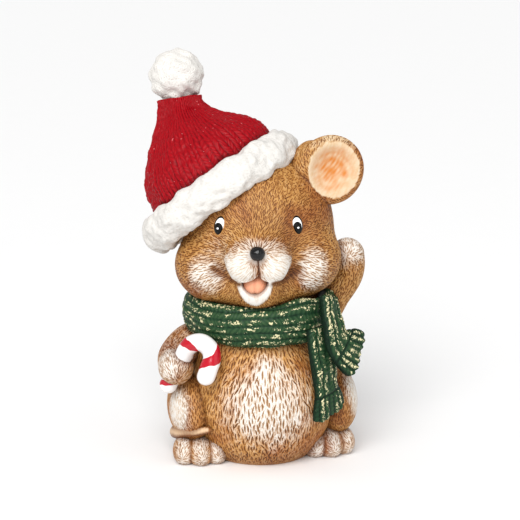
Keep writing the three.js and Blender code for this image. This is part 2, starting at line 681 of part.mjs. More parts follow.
// Each solid becomes a mesh of its group, with its own centre as its origin.
for (const [name, { shape, material, group }] of pieces) {
  const made = mainBody(shape).getMesh();
  const geometry = new THREE.BufferGeometry();
  geometry.setAttribute("position", new THREE.BufferAttribute(new Float32Array(made.vertProperties), 3));
  geometry.setIndex(new THREE.BufferAttribute(new Uint32Array(made.triVerts), 1));
  geometry.applyMatrix4(group.matrixWorld.clone().invert());
  geometry.computeBoundingBox();
  const mesh = new THREE.Mesh(geometry, material);
  mesh.name = name;
  geometry.boundingBox.getCenter(mesh.position);
  geometry.translate(...mesh.position.clone().negate());
  geometry.computeVertexNormals();
  group.add(mesh);
}

export default figure;
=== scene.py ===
"""Dresses the hamster figurine: carved fur, knit and plush with painted finishes, over the castings.

Sizes are in millimetres, in each sub-assembly's own frame, and become metres when a piece is finished.
"""

from __future__ import annotations

import logging
import math
from dataclasses import dataclass
from enum import Enum
from typing import Iterator, Protocol, Sequence, TypeVar

import bmesh
import bpy
import numpy as np
from mathutils import Matrix, Vector
from mathutils.kdtree import KDTree

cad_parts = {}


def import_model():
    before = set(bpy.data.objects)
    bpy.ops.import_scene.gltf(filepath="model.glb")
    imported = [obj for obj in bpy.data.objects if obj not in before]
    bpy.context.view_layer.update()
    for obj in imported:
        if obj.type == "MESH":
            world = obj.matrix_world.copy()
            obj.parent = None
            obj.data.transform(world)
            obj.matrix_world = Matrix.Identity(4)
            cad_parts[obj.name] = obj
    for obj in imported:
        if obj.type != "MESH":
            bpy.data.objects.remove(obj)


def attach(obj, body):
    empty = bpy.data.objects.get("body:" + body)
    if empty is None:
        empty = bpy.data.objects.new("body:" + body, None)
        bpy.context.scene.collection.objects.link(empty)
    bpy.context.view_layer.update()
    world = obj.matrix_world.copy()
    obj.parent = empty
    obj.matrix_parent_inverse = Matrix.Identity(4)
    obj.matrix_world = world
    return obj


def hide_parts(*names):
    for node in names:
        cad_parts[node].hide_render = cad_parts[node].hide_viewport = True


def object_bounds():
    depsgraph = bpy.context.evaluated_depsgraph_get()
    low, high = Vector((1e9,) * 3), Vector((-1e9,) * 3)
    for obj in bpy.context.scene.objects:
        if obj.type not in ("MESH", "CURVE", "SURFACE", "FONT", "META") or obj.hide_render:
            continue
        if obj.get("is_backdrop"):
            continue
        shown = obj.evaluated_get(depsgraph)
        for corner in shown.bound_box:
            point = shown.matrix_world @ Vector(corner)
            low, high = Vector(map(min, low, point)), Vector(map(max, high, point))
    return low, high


LOG = logging.getLogger("figurine")
MM = 0.001
TINY = 1e-9
FULL_TURN = 2 * math.pi
RING_RADIUS = 2.0
Vec = tuple[float, float, float]
Choice = TypeVar("Choice")


class Side(Enum):
    """A side of the figure, with the sign of x on it."""

    RIGHT = -1
    LEFT = 1

    @property
    def label(self) -> str:
        """The side's name as the pieces have it."""
        return self.name.lower()

    def pick(self, right: Choice, left: Choice) -> Choice:
        """The one of two that belongs to this side."""
        return right if self is Side.RIGHT else left


class Layer(Enum):
    """A map that is carved or painted on a piece's points, and that its finish reads."""

    RELIEF = "relief"
    TINT = "tint"
    PALE = "pale"
    # Dark paint in the creases, and painted shade in seams between pieces, near the floor and on undersides.
    WASH = "wash"
    MARK = "mark"
    GLINT = "glint"
    FLECK = "fleck"


# Small sums on arrays of points


def lengths(vectors: np.ndarray) -> np.ndarray:
    """The length of each vector."""
    return np.linalg.norm(vectors, axis=-1)


def unit(vectors: np.ndarray) -> np.ndarray:
    """The vectors at a length of one."""
    return vectors / np.maximum(lengths(vectors), TINY)[..., None]


def ease(low: float, high: float, values: np.ndarray) -> np.ndarray:
    """A smooth step over values, from 0 at low to 1 at high."""
    share = np.clip((values - low) / (high - low), 0.0, 1.0)
    return share * share * (3.0 - 2.0 * share)


def soft_least(values: Sequence[np.ndarray], blend: float) -> np.ndarray:
    """The least of several distances, rounded over a width of blend where they are alike."""
    stack = np.stack(values)
    least = stack.min(axis=0)
    return least - blend * np.log(np.exp((least - stack) / blend).sum(axis=0))


def drawn_together(directions: np.ndarray, focus: Vec, focusing: float) -> np.ndarray:
    """Draws directions together round a focus, so that the points of a ball lie closer there.

    Args:
        directions: Unit vectors.
        focus: The direction of the finest work.
        focusing: Spacing at the focus, as a share of the even spacing.

    Returns:
        The drawn directions.
    """
    axis = unit(np.array(focus, float))
    height = directions @ axis
    angle = np.arccos(np.clip(height, -1.0, 1.0))
    drawn = 2.0 * np.arctan(focusing * np.tan(angle / 2.0))[:, None]
    return np.cos(drawn) * axis + np.sin(drawn) * unit(directions - height[:, None] * axis)


def lumps(points: np.ndarray, size: float, seed: int) -> np.ndarray:
    """Soft lumps of about one size over points, between about -1 and 1.

    Args:
        points: Where they are wanted.
        size: Distance from lump to lump.
        seed: Seed of their places.

    Returns:
        The height of the lumps at each point.
    """
    rng = np.random.default_rng(seed)
    waves = 9
    directions = unit(rng.normal(size=(waves, 3))) * FULL_TURN / size
    phases = rng.uniform(0, FULL_TURN, waves)
    return np.sin(points @ directions.T + phases).sum(axis=1) / math.sqrt(waves)


# Forms: the shapes that the castings have in the frame


class Body(Protocol):
    """Anything that can tell how far points of the figure lie from its skin."""

    def distance(self, points: np.ndarray) -> np.ndarray:
        """Distance of the figure's points to the skin, negative inside."""


@dataclass(frozen=True)
class Egg:
    """An egg-shaped lobe, turned about Y by degrees."""

    at: Vec
    radii: Vec
    turn: float = 0.0

    def distance(self, points: np.ndarray) -> np.ndarray:
        """Nearly the distance of points to the egg's skin, negative inside it."""
        turned = np.array(Matrix.Rotation(math.radians(self.turn), 3, "Y"))
        scaled = ((points - np.array(self.at)) @ turned) / self.radii
        share = lengths(scaled)
        return share * (share - 1.0) / np.maximum(lengths(scaled / self.radii), TINY)


@dataclass(frozen=True)
class Form:
    """Lobes that melt into each other, with hollows pressed into them, seen from a centre."""

    lobes: tuple[Egg, ...]
    centre: Vec
    blend: float = 1.0
    hollows: tuple[Egg, ...] = ()

    FAR = 75.0
    STEPS = 40
    STRIDE = 0.8

    def distance(self, points: np.ndarray) -> np.ndarray:
        """Distance of points to the form's skin, negative inside it."""
        result = soft_least([lobe.distance(points) for lobe in self.lobes], self.blend)
        for hollow in self.hollows:
            result = -soft_least([-result, hollow.distance(points)], self.blend)
        return result

    def skin(self, directions: np.ndarray) -> np.ndarray:
        """The points of the skin along directions from the centre."""
        reach = np.full(len(directions), self.FAR)
        for _ in range(self.STEPS):
            reach -= self.STRIDE * self.distance(self.centre + directions * reach[:, None])
        return self.centre + directions * reach[:, None]

    def crease(self, points: np.ndarray) -> np.ndarray:
        """How deep points lie between two lobes, from 0 to about 1."""
        hard = np.stack([lobe.distance(points) for lobe in self.lobes]).min(axis=0)
        return np.clip((hard - self.distance(points)) / (self.blend * math.log(2.0)), 0.0, 1.0)


@dataclass(frozen=True)
class Place:
    """A sub-assembly's frame in the figure."""

    matrix: Matrix

    def out(self, points: np.ndarray) -> np.ndarray:
        """Points of the sub-assembly, in the figure."""
        return points @ np.array(self.matrix.to_3x3()).T + np.array(self.matrix.translation)

    def into(self, points: np.ndarray) -> np.ndarray:
        """Points of the figure, in the sub-assembly."""
        return (points - np.array(self.matrix.translation)) @ np.array(self.matrix.to_3x3())


@dataclass(frozen=True)
class Casting:
    """A form in its place."""

    form: Form
    place: Place

    def distance(self, points: np.ndarray) -> np.ndarray:
        """Distance of the figure's points to the casting's skin, negative inside it."""
        return self.form.distance(self.place.into(points))


class Path:
    """A smooth curve through points, read by share of its length, with a steady frame along it."""

    SAMPLES_PER_SPAN = 60

    def __init__(self, points: Sequence[Vec]) -> None:
        """Draws the curve.

        Args:
            points: The points that it passes through.
        """
        knots = np.array(points, float)
        ends = np.vstack([2 * knots[0] - knots[1], knots, 2 * knots[-1] - knots[-2]])
        spans = [self._span(ends[i : i + 4]) for i in range(len(knots) - 1)]
        self.samples = np.vstack(spans + [knots[-1:]])
        steps = lengths(np.diff(self.samples, axis=0))
        self.length = float(steps.sum())
        self.shares = np.concatenate([[0.0], np.cumsum(steps)]) / self.length
        self.along = unit(np.gradient(self.samples, axis=0))
        self.across = self._carried()

    def _span(self, knots: np.ndarray) -> np.ndarray:
        """Samples of the stretch between the middle two of four knots."""
        first, start, end, last = knots
        gaps = [max(math.sqrt(float(lengths(b - a))), TINY) for a, b in zip(knots, knots[1:])]
        leave = (start - first) / gaps[0] - (end - first) / (gaps[0] + gaps[1]) + (end - start) / gaps[1]
        reach = (end - start) / gaps[1] - (last - start) / (gaps[1] + gaps[2]) + (last - end) / gaps[2]
        leave, reach = leave * gaps[1], reach * gaps[1]
        t = np.linspace(0.0, 1.0, self.SAMPLES_PER_SPAN, endpoint=False)[:, None]
        square, cube = t * t, t * t * t
        bend = -3 * start + 3 * end - 2 * leave - reach
        return start + leave * t + bend * square + (2 * start - 2 * end + leave + reach) * cube

    def _carried(self) -> np.ndarray:
        """A vector across the curve, carried along it without twist."""
        side = np.cross(self.along[0], (0.0, 0.0, 1.0))
        carried = []
        for along in self.along:
            side = unit(side - along * (side @ along))
            carried.append(side)
        return np.array(carried)

    def _read(self, table: np.ndarray, share: np.ndarray) -> np.ndarray:
        """A table of the samples, read at shares of the length."""
        return np.stack([np.interp(share, self.shares, table[:, i]) for i in range(3)], axis=1)

    def at(self, share: np.ndarray) -> np.ndarray:
        """Points of the curve."""
        return self._read(self.samples, share)

    def heading(self, share: np.ndarray) -> np.ndarray:
        """Unit vectors along the curve."""
        return unit(self._read(self.along, share))

    def round(self, share: np.ndarray, angle: np.ndarray) -> np.ndarray:
        """Unit vectors square to the curve, at an angle round it."""
        across = unit(self._read(self.across, share))
        up = np.cross(self.heading(share), across)
        return across * np.cos(angle)[:, None] + up * np.sin(angle)[:, None]


@dataclass(frozen=True)
class Limb:
    """A round bar along points, whose radius changes along it, with round ends."""

    points: tuple[Vec, ...]
    radii: tuple[float, ...]
    place: Place

    STATIONS = 48

    def path(self) -> Path:
        """The middle line."""
        return Path(self.points)

    def radius(self, share: np.ndarray) -> np.ndarray:
        """The radius at shares of the length."""
        return np.interp(share, np.linspace(0.0, 1.0, len(self.radii)), self.radii)

    def distance(self, points: np.ndarray) -> np.ndarray:
        """Distance of the figure's points to the bar's skin, negative inside it."""
        path = self.path()
        stations = np.linspace(0.0, 1.0, self.STATIONS)
        inset = self.radii[0] / path.length
        centres = path.at(stations * (1 - 2 * inset) + inset)
        local = self.place.into(points)
        reaches = [lengths(local - centre) - r for centre, r in zip(centres, self.radius(stations))]
        return np.min(reaches, axis=0)

    def skin(self, polar: np.ndarray, angle: np.ndarray) -> tuple[np.ndarray, np.ndarray]:
        """The skin, read like a globe whose poles are the two ends.

        Args:
            polar: Share of the way from pole to pole.
            angle: Angle round the bar.

        Returns:
            The points, and the share of the length that each lies at.
        """
        path = self.path()
        first, last = self.radii[0], self.radii[-1]
        caps = (first * math.pi / 2, path.length - first - last, last * math.pi / 2)
        way = polar * sum(caps)
        back = np.maximum(sum(caps) - way, 0.0)
        start, end = way < caps[0], back < caps[2]
        along = np.where(start, first * (1 - np.cos(way / first)), way - caps[0] + first)
        along = np.where(end, path.length - last * (1 - np.cos(back / last)), along)
        roundness = np.where(start, np.sin(way / first), np.where(end, np.sin(back / last), 1.0))
        share = np.clip(along / path.length, 0.0, 1.0)
        reach = self.radius(share) * roundness
        return path.at(share) + path.round(share, angle) * reach[:, None], share


@dataclass(frozen=True)
class Spot:
    """A painted patch: an egg-shaped region with a soft edge."""

    at: Vec
    radii: Vec
    edge: float = 0.3

    def cover(self, points: np.ndarray) -> np.ndarray:
        """How much of the patch lies on each point, from 0 to 1."""
        share = lengths((points - np.array(self.at)) / self.radii)
        return 1.0 - ease(1.0 - self.edge, 1.0 + self.edge, share)


def patches(points: np.ndarray, spots: Sequence[Spot]) -> np.ndarray:
    """The cover of several patches together."""
    return np.max([spot.cover(points) for spot in spots], axis=0)


@dataclass(frozen=True)
class Line:
    """A line over the face, drawn through places of x and z as they are seen from the front."""

    places: tuple[tuple[float, float], ...]
    width: float
    before: float = -20.0

    def cover(self, points: np.ndarray) -> np.ndarray:
        """How much of the line lies on each point, from 0 at its edges to 1 along its middle."""
        samples = Path([(x, 0.0, z) for x, z in self.places]).samples[::5]
        seen = points * (1.0, 0.0, 1.0)
        away = np.min([lengths(seen - sample) for sample in samples], axis=0)
        return (1.0 - ease(0.0, self.width / 2, away)) * ease(self.before, self.before - 4.0, points[:, 1])


# Blanks: closed meshes with evenly spread points, which are then moved to a piece's skin


def ball_blank(splits: int, cuts: int = 0) -> bmesh.types.BMesh:
    """A ball of triangles.

    Args:
        splits: Subdivisions of the starting ball.
        cuts: Further cuts of each edge.

    Returns:
        The blank.
    """
    blank = bmesh.new()
    bmesh.ops.create_icosphere(blank, subdivisions=splits, radius=1.0)
    if cuts:
        bmesh.ops.subdivide_edges(blank, edges=blank.edges[:], cuts=cuts, use_grid_fill=True)
    return blank


def sleeve_blank(around: int, along: int) -> bmesh.types.BMesh:
    """A globe of meridians and parallels, for long pieces with two ends."""
    blank = bmesh.new()
    bmesh.ops.create_uvsphere(blank, u_segments=around, v_segments=along, radius=1.0)
    return blank


def ring_blank(around: int, section: int) -> bmesh.types.BMesh:
    """A ring, spun from a circle.

    Args:
        around: Steps round the ring.
        section: Points of its section.

    Returns:
        The blank, with a section of radius 1 at RING_RADIUS from the axis.
    """
    blank = bmesh.new()
    bmesh.ops.create_circle(blank, cap_ends=False, segments=section, radius=1.0)
    bmesh.ops.rotate(blank, verts=blank.verts[:], cent=(0, 0, 0), matrix=Matrix.Rotation(math.pi / 2, 3, "X"))
    bmesh.ops.translate(blank, verts=blank.verts[:], vec=(RING_RADIUS, 0.0, 0.0))
    bmesh.ops.spin(
        blank,
        geom=blank.verts[:] + blank.edges[:],
        cent=(0, 0, 0),
        axis=(0, 0, 1),
        angle=FULL_TURN,
        steps=around,
        use_merge=True,
    )
    bmesh.ops.recalc_face_normals(blank, faces=blank.faces[:])
    return blank


def capped(polar: np.ndarray, start: float, end: float) -> tuple[np.ndarray, np.ndarray]:
    """Reads a globe as a sleeve with flat ends.

    Args:
        polar: Share of the way from pole to pole.
        start: Share where the first end's rim lies.
        end: Share where the last end's rim lies.

    Returns:
        The share of the sleeve's length, and the reach from its middle line to its skin.
    """
    stations = (0.0, start, end, 1.0)
    return np.interp(polar, stations, (0.0, 0.0, 1.0, 1.0)), np.interp(polar, stations, (0.0, 1.0, 1.0, 0.0))


def round_ring(points: np.ndarray, half_width: float, half_depth: float) -> tuple[np.ndarray, np.ndarray]:
    """Angle of points round an oval ring, and how far out of its core they lie."""
    angle = np.arctan2(points[:, 1] / half_depth, points[:, 0] / half_width)
    core = np.column_stack([half_width * np.cos(angle), half_depth * np.sin(angle)])
    return angle, lengths(points[:, :2]) - lengths(core)


def ring_skin(
    around: np.ndarray, halves: tuple[float, float], thick: np.ndarray, rise: np.ndarray
) -> np.ndarray:
    """Lays points out as an oval ring.

    Args:
        around: Angle round the ring.
        halves: Half width and half depth of its core.
        thick: Way out of the core.
        rise: Way up.

    Returns:
        The points.
    """
    half_width, half_depth = halves
    x, y = np.cos(around) * (half_width + thick), np.sin(around) * (half_depth + thick)
    return np.column_stack([x, y, rise])


# The bench: strokes, and the carving of one piece


@dataclass(frozen=True)
class Strokes:
    """Strokes of one kind along the lie of the fur: size, room beside and before each, depth and sway."""

    length: float
    width: float
    seed: int
    room: float = 0.75
    run: float = 1.9
    depth: float = 1.0
    sway: float = 0.2


class Carving:
    """One piece on the bench: a closed mesh in its sub-assembly's frame, and the maps on its points."""

    FUR_LEVEL = 0.8
    GROOVE_STATIONS = 40
    WAVER = 0.12
    WAVER_PITCH = 0.9
    BARE = 0.05
    SAME_SIDE = 0.3
    THINNEST = 0.05
    SEAT_ROUNDS = 10
    SEAT_NEAR = 0.01
    NUDGE = 0.05

    def __init__(self, blank: bmesh.types.BMesh, place: Place) -> None:
        """Takes over a blank.

        Args:
            blank: The blank, which is used up.
            place: The frame that the piece is carved in.
        """
        self.mesh = bpy.data.meshes.new("carving")
        blank.to_mesh(self.mesh)
        blank.free()
        self.place = place
        flat = np.empty(len(self.mesh.vertices) * 3)
        self.mesh.vertices.foreach_get("co", flat)
        self.points = flat.reshape(-1, 3)
        self.normals = np.zeros_like(self.points)
        self.maps: dict[Layer, np.ndarray] = {}

    @classmethod
    def of(cls, casting: Casting, blank: bmesh.types.BMesh, focus: Vec, focusing: float) -> Carving:
        """Lays a ball over a casting's skin.

        Args:
            casting: The casting.
            blank: The ball, which is used up.
            focus: The direction of the finest work.
            focusing: Spacing at the focus, as a share of the even spacing.

        Returns:
            The carving.
        """
        carving = cls(blank, casting.place)
        carving.move(casting.form.skin(drawn_together(unit(carving.points), focus, focusing)))
        return carving

    def globe(self) -> tuple[np.ndarray, np.ndarray]:
        """Polar share and angle of a blank that is still a globe."""
        polar = np.arccos(np.clip(-self.points[:, 2], -1.0, 1.0)) / math.pi
        return polar, np.arctan2(self.points[:, 1], self.points[:, 0])

    def torus(self) -> tuple[np.ndarray, np.ndarray]:
        """Angle round and angle of section of a blank that is still a ring."""
        x, y, z = self.points.T
        return np.arctan2(y, x), np.arctan2(z, np.hypot(x, y) - RING_RADIUS)

    def move(self, points: np.ndarray) -> None:
        """Moves the points, and works out the normals again."""
        self.points = points
        self.mesh.vertices.foreach_set("co", points.ravel())
        self.mesh.update()
        flat = np.empty(points.size)
        self.mesh.vertex_normals.foreach_get("vector", flat)
        self.normals = flat.reshape(-1, 3)
        if np.einsum("ij,ij->i", self.normals, points - points.mean(axis=0)).mean() < 0:
            self.mesh.flip_normals()
            self.normals = -self.normals

    def raised(self, height: np.ndarray | float) -> None:
        """Moves the points out along their normals."""
        self.move(self.points + self.normals * np.reshape(height, (-1, 1)))

    def layer(self, layer: Layer) -> np.ndarray:
        """A map, which starts at 0."""
        return self.maps.setdefault(layer, np.zeros(len(self.points)))

    def paint(self, layer: Layer, cover: np.ndarray) -> None:
        """Adds cover to a map where it is stronger than what is there."""
        self.maps[layer] = np.maximum(self.layer(layer), cover)

    def fur_height(self, depth: np.ndarray | float) -> np.ndarray:
        """Height of the carved fur at a depth of nick, about the skin's level."""
        return (self.layer(Layer.RELIEF) - self.FUR_LEVEL) * depth

    def figure_points(self) -> np.ndarray:
        """The points in the figure."""
        return self.place.out(self.points)

    def clear_of(self, bodies: Sequence[Body], margin: float = 0.5) -> np.ndarray:
        """1 where a point shows, 0 where another body covers it."""
        points = self.figure_points()
        return np.min([np.where(body.distance(points) > -margin, 1.0, 0.0) for body in bodies], axis=0)

    def shade_beside(self, body: Body, reach: float, strength: float = 1.0) -> None:
        """Paints shade into the seam beside another body: dark paint that fades away from it."""
        near = np.abs(body.distance(self.figure_points()))
        self.paint(Layer.WASH, strength * (1.0 - ease(0.0, reach, near)))

    def tree(self) -> KDTree:
        """The points, set out for finding those near a place."""
        tree = KDTree(len(self.points))
        for index, point in enumerate(self.points):
            tree.insert(point, index)
        tree.balance()
        return tree

    def _strokes(
        self, kind: Strokes, flow: np.ndarray, where: np.ndarray, scale: np.ndarray
    ) -> Iterator[tuple[np.ndarray, np.ndarray, np.ndarray, np.ndarray]]:
        """Lays strokes over the piece, staggered and without crowding.

        Args:
            kind: The kind of stroke.
            flow: The way that the fur lies at each point.
            where: Where strokes are wanted, from 0 to 1.
            scale: Size of the strokes at each point.

        Yields:
            The points near a stroke, their places along it and across it in half lengths and half widths,
            and how far each is out of the stroke's own room.
        """
        rng = np.random.default_rng(kind.seed)
        tree = self.tree()
        lying = unit(flow - self.normals * np.einsum("ij,ij->i", flow, self.normals)[:, None])
        waver = [lumps(self.points, self.WAVER_PITCH * kind.length, kind.seed + i) for i in range(3)]
        bent = self.points + self.WAVER * kind.width * np.column_stack(waver)
        taken = where < self.BARE
        for index in rng.permutation(len(self.points)):
            if taken[index]:
                continue
            normal = self.normals[index]
            half_length = 0.5 * kind.length * scale[index] * rng.uniform(0.7, 1.3)
            half_width = 0.5 * kind.width * scale[index] * rng.uniform(0.75, 1.25)
            room = kind.room * scale[index] / half_width
            sway = rng.normal(0.0, kind.sway)
            along = lying[index] * math.cos(sway) + np.cross(normal, lying[index]) * math.sin(sway)
            hits = tree.find_range(Vector(self.points[index]), max(kind.run * half_length, kind.room))
            near = np.array([hit[1] for hit in hits])
            near = near[self.normals[near] @ normal > self.SAME_SIDE]
            offset = bent[near] - bent[index]
            u = offset @ along / half_length
            v = offset @ np.cross(normal, along) / half_width
            reach = (u / kind.run) ** 2 + (v / room) ** 2
            taken[near[reach < 1.0]] = True
            taken[index] = True
            yield near, u, v, reach

    def _profile(self, lens: np.ndarray, v: np.ndarray) -> np.ndarray:
        """Height across a stroke that is as wide as lens at each point."""
        return np.maximum(1.0 - (v / np.maximum(lens, self.THINNEST)) ** 2, 0.0) * (lens > self.THINNEST)

    def nick(
        self, kinds: Sequence[Strokes], flow: np.ndarray, where: np.ndarray, scale: np.ndarray | float = 1.0
    ) -> None:
        """Cuts pointed nicks along the lie of the fur, and gives each lock between them a tint.

        Args:
            kinds: The kinds of nick; the locks between those of the first kind are tinted.
            flow: The way that the fur lies at each point.
            where: Depth of the nicks at each point, from 0 to 1.
            scale: Size of the nicks, at each point or all over.
        """
        relief, tint = np.ones(len(self.points)), np.full(len(self.points), 0.5)
        nearest = np.full(len(self.points), np.inf)
        sizes = np.broadcast_to(scale, relief.shape)
        for kind in kinds:
            own = np.random.default_rng(kind.seed + 1)
            for near, u, v, reach in self._strokes(kind, flow, where, sizes):
                shade = own.random()
                lens = np.maximum(1.0 - u * u, 0.0)
                depth = self._profile(lens, v)
                relief[near] = np.minimum(relief[near], 1.0 - depth * kind.depth * (0.7 + 0.3 * shade))
                if kind is kinds[0]:
                    nearer = reach < nearest[near]
                    nearest[near[nearer]] = reach[nearer]
                    tint[near[nearer]] = shade
        self.maps[Layer.RELIEF] = 1.0 - (1.0 - relief) * where
        self.maps[Layer.TINT] = tint

    def curl(self, kind: Strokes, flow: np.ndarray, where: np.ndarray) -> None:
        """Raises short soft curls along a flow.

        Args:
            kind: The kind of curl.
            flow: The way that the curls lie at each point.
            where: Height of the curls at each point, from 0 to 1.
        """
        relief = np.full(len(self.points), 0.5)
        for near, u, v, _ in self._strokes(kind, flow, where, np.ones(len(self.points))):
            lens = np.sqrt(np.maximum(1.0 - u * u, 0.0))
            relief[near] = np.maximum(relief[near], 0.5 + 0.5 * self._profile(lens, v) * where[near])
        self.paint(Layer.RELIEF, relief)

    def groove(self, path: Sequence[Vec], width: float) -> np.ndarray:
        """How deep each point lies in a groove along a path.

        Args:
            path: Points of the groove's middle.
            width: Full width.

        Returns:
            From 0 outside to 1 in the middle.
        """
        samples = Path(path).samples
        stations = samples[:: len(samples) // self.GROOVE_STATIONS + 1]
        away = np.min([lengths(self.points - station) for station in stations], axis=0)
        return 1.0 - ease(0.0, width / 2, away)

    def seat(self, body: Body, sink: float = 0.4) -> None:
        """Moves points that lie deeper in another body out to a depth of sink, so the seam is closed."""
        points = self.figure_points()
        for _ in range(self.SEAT_ROUNDS):
            depth = body.distance(points)
            deep = depth < -sink - self.SEAT_NEAR
            if not deep.any():
                break
            inside = points[deep]
            slopes = [body.distance(inside + step) - depth[deep] for step in np.eye(3) * self.NUDGE]
            outward = unit(np.stack(slopes, axis=1))
            points[deep] = inside + outward * (-sink - depth[deep])[:, None]
        self.move(self.place.into(points))

    def join(self, bodies: Sequence[Body], reach: float, strength: float) -> None:
        """Paints shade into the seam beside each body, and seats the piece on it."""
        for body in bodies:
            self.shade_beside(body, reach, strength)
            self.seat(body)

    def stand(self) -> None:
        """Cuts the piece flat where it would pass through the floor."""
        points = self.figure_points()
        points[:, 2] = np.maximum(points[:, 2], 0.0)
        self.move(self.place.into(points))

    def finish(self, name: str, node: str, slot: str, material: bpy.types.Material) -> None:
        """Puts the piece in the figure and hides the casting that it stands for.

        Args:
            name: Name of the piece.
            node: The casting that it replaces.
            slot: The record's material slot; not used.
            material: The finish.
        """
        self.mesh.vertices.foreach_set("co", (self.figure_points() * MM).ravel())
        self.mesh.polygons.foreach_set("use_smooth", [True] * len(self.mesh.polygons))
        for layer, values in self.maps.items():
            stored = self.mesh.attributes.new(layer.value, "FLOAT", "POINT")
            stored.data.foreach_set("value", values.astype(np.float32))
        self.mesh.update()
        self.mesh.name = name
        piece = bpy.data.objects.new(name, self.mesh)
        bpy.context.scene.collection.objects.link(piece)
        self.mesh.materials.append(material)
        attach(piece, "root")
        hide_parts(node)
        LOG.info("%s stands for %s, with %d faces", name, node, len(self.mesh.polygons))


# Finishes: node trees written as sums


class Wire:
    """A shader socket that can be added, multiplied and eased like a number."""

    def __init__(self, board: Board, socket: bpy.types.NodeSocket) -> None:
        """Wraps a socket of a board."""
        self.board = board
        self.socket = socket

    def _sum(self, operation: str, first: Wire | float, second: Wire | float) -> Wire:
        """A Math node on two values."""
        return self.board.node("ShaderNodeMath", {"operation": operation}, {0: first, 1: second})

    def __add__(self, other: Wire | float) -> Wire:
        """Self plus other."""
        return self._sum("ADD", self, other)

    __radd__ = __add__

    def __sub__(self, other: Wire | float) -> Wire:
        """Self minus other."""
        return self._sum("SUBTRACT", self, other)

    def __rsub__(self, other: Wire | float) -> Wire:
        """Other minus self."""
        return self._sum("SUBTRACT", other, self)

    def __mul__(self, other: Wire | float) -> Wire:
        """Self times other."""
        return self._sum("MULTIPLY", self, other)

    __rmul__ = __mul__

    def ease(self, low: float, high: float) -> Wire:
        """A smooth step from 0 at low to 1 at high."""
        settings = {"interpolation_type": "SMOOTHSTEP"}
        inputs = {"Value": self, "From Min": low, "From Max": high}
        return self.board.node("ShaderNodeMapRange", settings, inputs)


Colour = tuple[float, float, float, float]


def colour(red: int, green: int, blue: int) -> Colour:
    """A colour as it is seen, from 0 to 255, turned into the shader's linear light."""
    seen = (channel / 255 for channel in (red, green, blue))
    linear = (c / 12.92 if c <= 0.04045 else ((c + 0.055) / 1.055) ** 2.4 for c in seen)
    return (*linear, 1.0)


class Board:
    """The node tree of one finish."""

    def __init__(self, name: str) -> None:
        """Starts an empty material."""
        self.material = bpy.data.materials.new(name)
        self.material.use_nodes = True
        self.tree = self.material.node_tree
        self.tree.nodes.clear()

    def node(self, kind: str, settings: dict, inputs: dict, output: int | str = 0) -> Wire:
        """Adds a node.

        Args:
            kind: The node's type.
            settings: Its settings, which are set first; stops are those of a colour ramp.
            inputs: Values or wires by the socket's name or number.
            output: The socket to read.

        Returns:
            That socket.
        """
        made = self.tree.nodes.new(kind)
        for name, value in settings.items():
            if name == "stops":
                self._stops(made.color_ramp, value)
            else:
                setattr(made, name, value)
        for name, value in inputs.items():
            if isinstance(value, Wire):
                self.tree.links.new(value.socket, made.inputs[name])
            else:
                made.inputs[name].default_value = value
        return Wire(self, made.outputs[output])

    @staticmethod
    def _stops(ramp: bpy.types.ColorRamp, stops: Sequence[tuple[float, Colour]]) -> None:
        """Sets the stops of a colour ramp."""
        while len(ramp.elements) < len(stops):
            ramp.elements.new(1.0)
        for element, (position, tone) in zip(ramp.elements, stops):
            element.position = position
            element.color = tone

    def layer(self, layer: Layer) -> Wire:
        """A map of the piece."""
        return self.node("ShaderNodeAttribute", {"attribute_name": layer.value}, {}, "Fac")

    def noise(self, size: float, detail: float = 2.0, stretch: Vec = (1.0, 1.0, 1.0)) -> Wire:
        """Noise between 0 and 1.

        Args:
            size: Distance from blot to blot, in mm.
            detail: Octaves of finer noise.
            stretch: Scale along each axis.

        Returns:
            The noise.
        """
        place = self.node("ShaderNodeTexCoord", {}, {}, "Object")
        mapped = self.node("ShaderNodeMapping", {}, {"Vector": place, "Scale": stretch})
        scale = 1.0 / (size * MM)
        return self.node("ShaderNodeTexNoise", {}, {"Vector": mapped, "Scale": scale, "Detail": detail})

    def ramp(self, value: Wire, stops: Sequence[tuple[float, Colour]]) -> Wire:
        """A colour ramp."""
        return self.node("ShaderNodeValToRGB", {"stops": stops}, {"Fac": value})

    def mix(
        self, factor: Wire | float, first: Wire | Colour, second: Wire | Colour, mode: str = "MIX"
    ) -> Wire:
        """Mixes two colours.

        Args:
            factor: Share of the second.
            first: The first colour.
            second: The second colour.
            mode: How the second is laid on the first.

        Returns:
            The mixed colour.
        """
        settings = {"data_type": "RGBA", "blend_type": mode}
        return self.node("ShaderNodeMix", settings, {0: factor, 6: first, 7: second}, 2)

    def bump(self, height: Wire, distance: float, strength: float = 1.0) -> Wire:
        """The normal of a surface with fine relief.

        Args:
            height: Relief between 0 and 1.
            distance: Height of the relief, in mm.
            strength: Share of it that shows.

        Returns:
            The normal.
        """
        inputs = {"Height": height, "Distance": distance * MM, "Strength": strength}
        return self.node("ShaderNodeBump", {}, inputs)

    def coat(self, **inputs: Wire | Colour | float) -> bpy.types.Material:
        """Ends the tree in a painted surface.

        Args:
            inputs: The shader's inputs, with words joined by underscores.

        Returns:
            The material.
        """
        named = {key.replace("_", " ").title().replace("Ior", "IOR"): value for key, value in inputs.items()}
        surface = self.node("ShaderNodeBsdfPrincipled", {}, named)
        end = self.tree.nodes.new("ShaderNodeOutputMaterial")
        self.tree.links.new(surface.socket, end.inputs["Surface"])
        return self.material


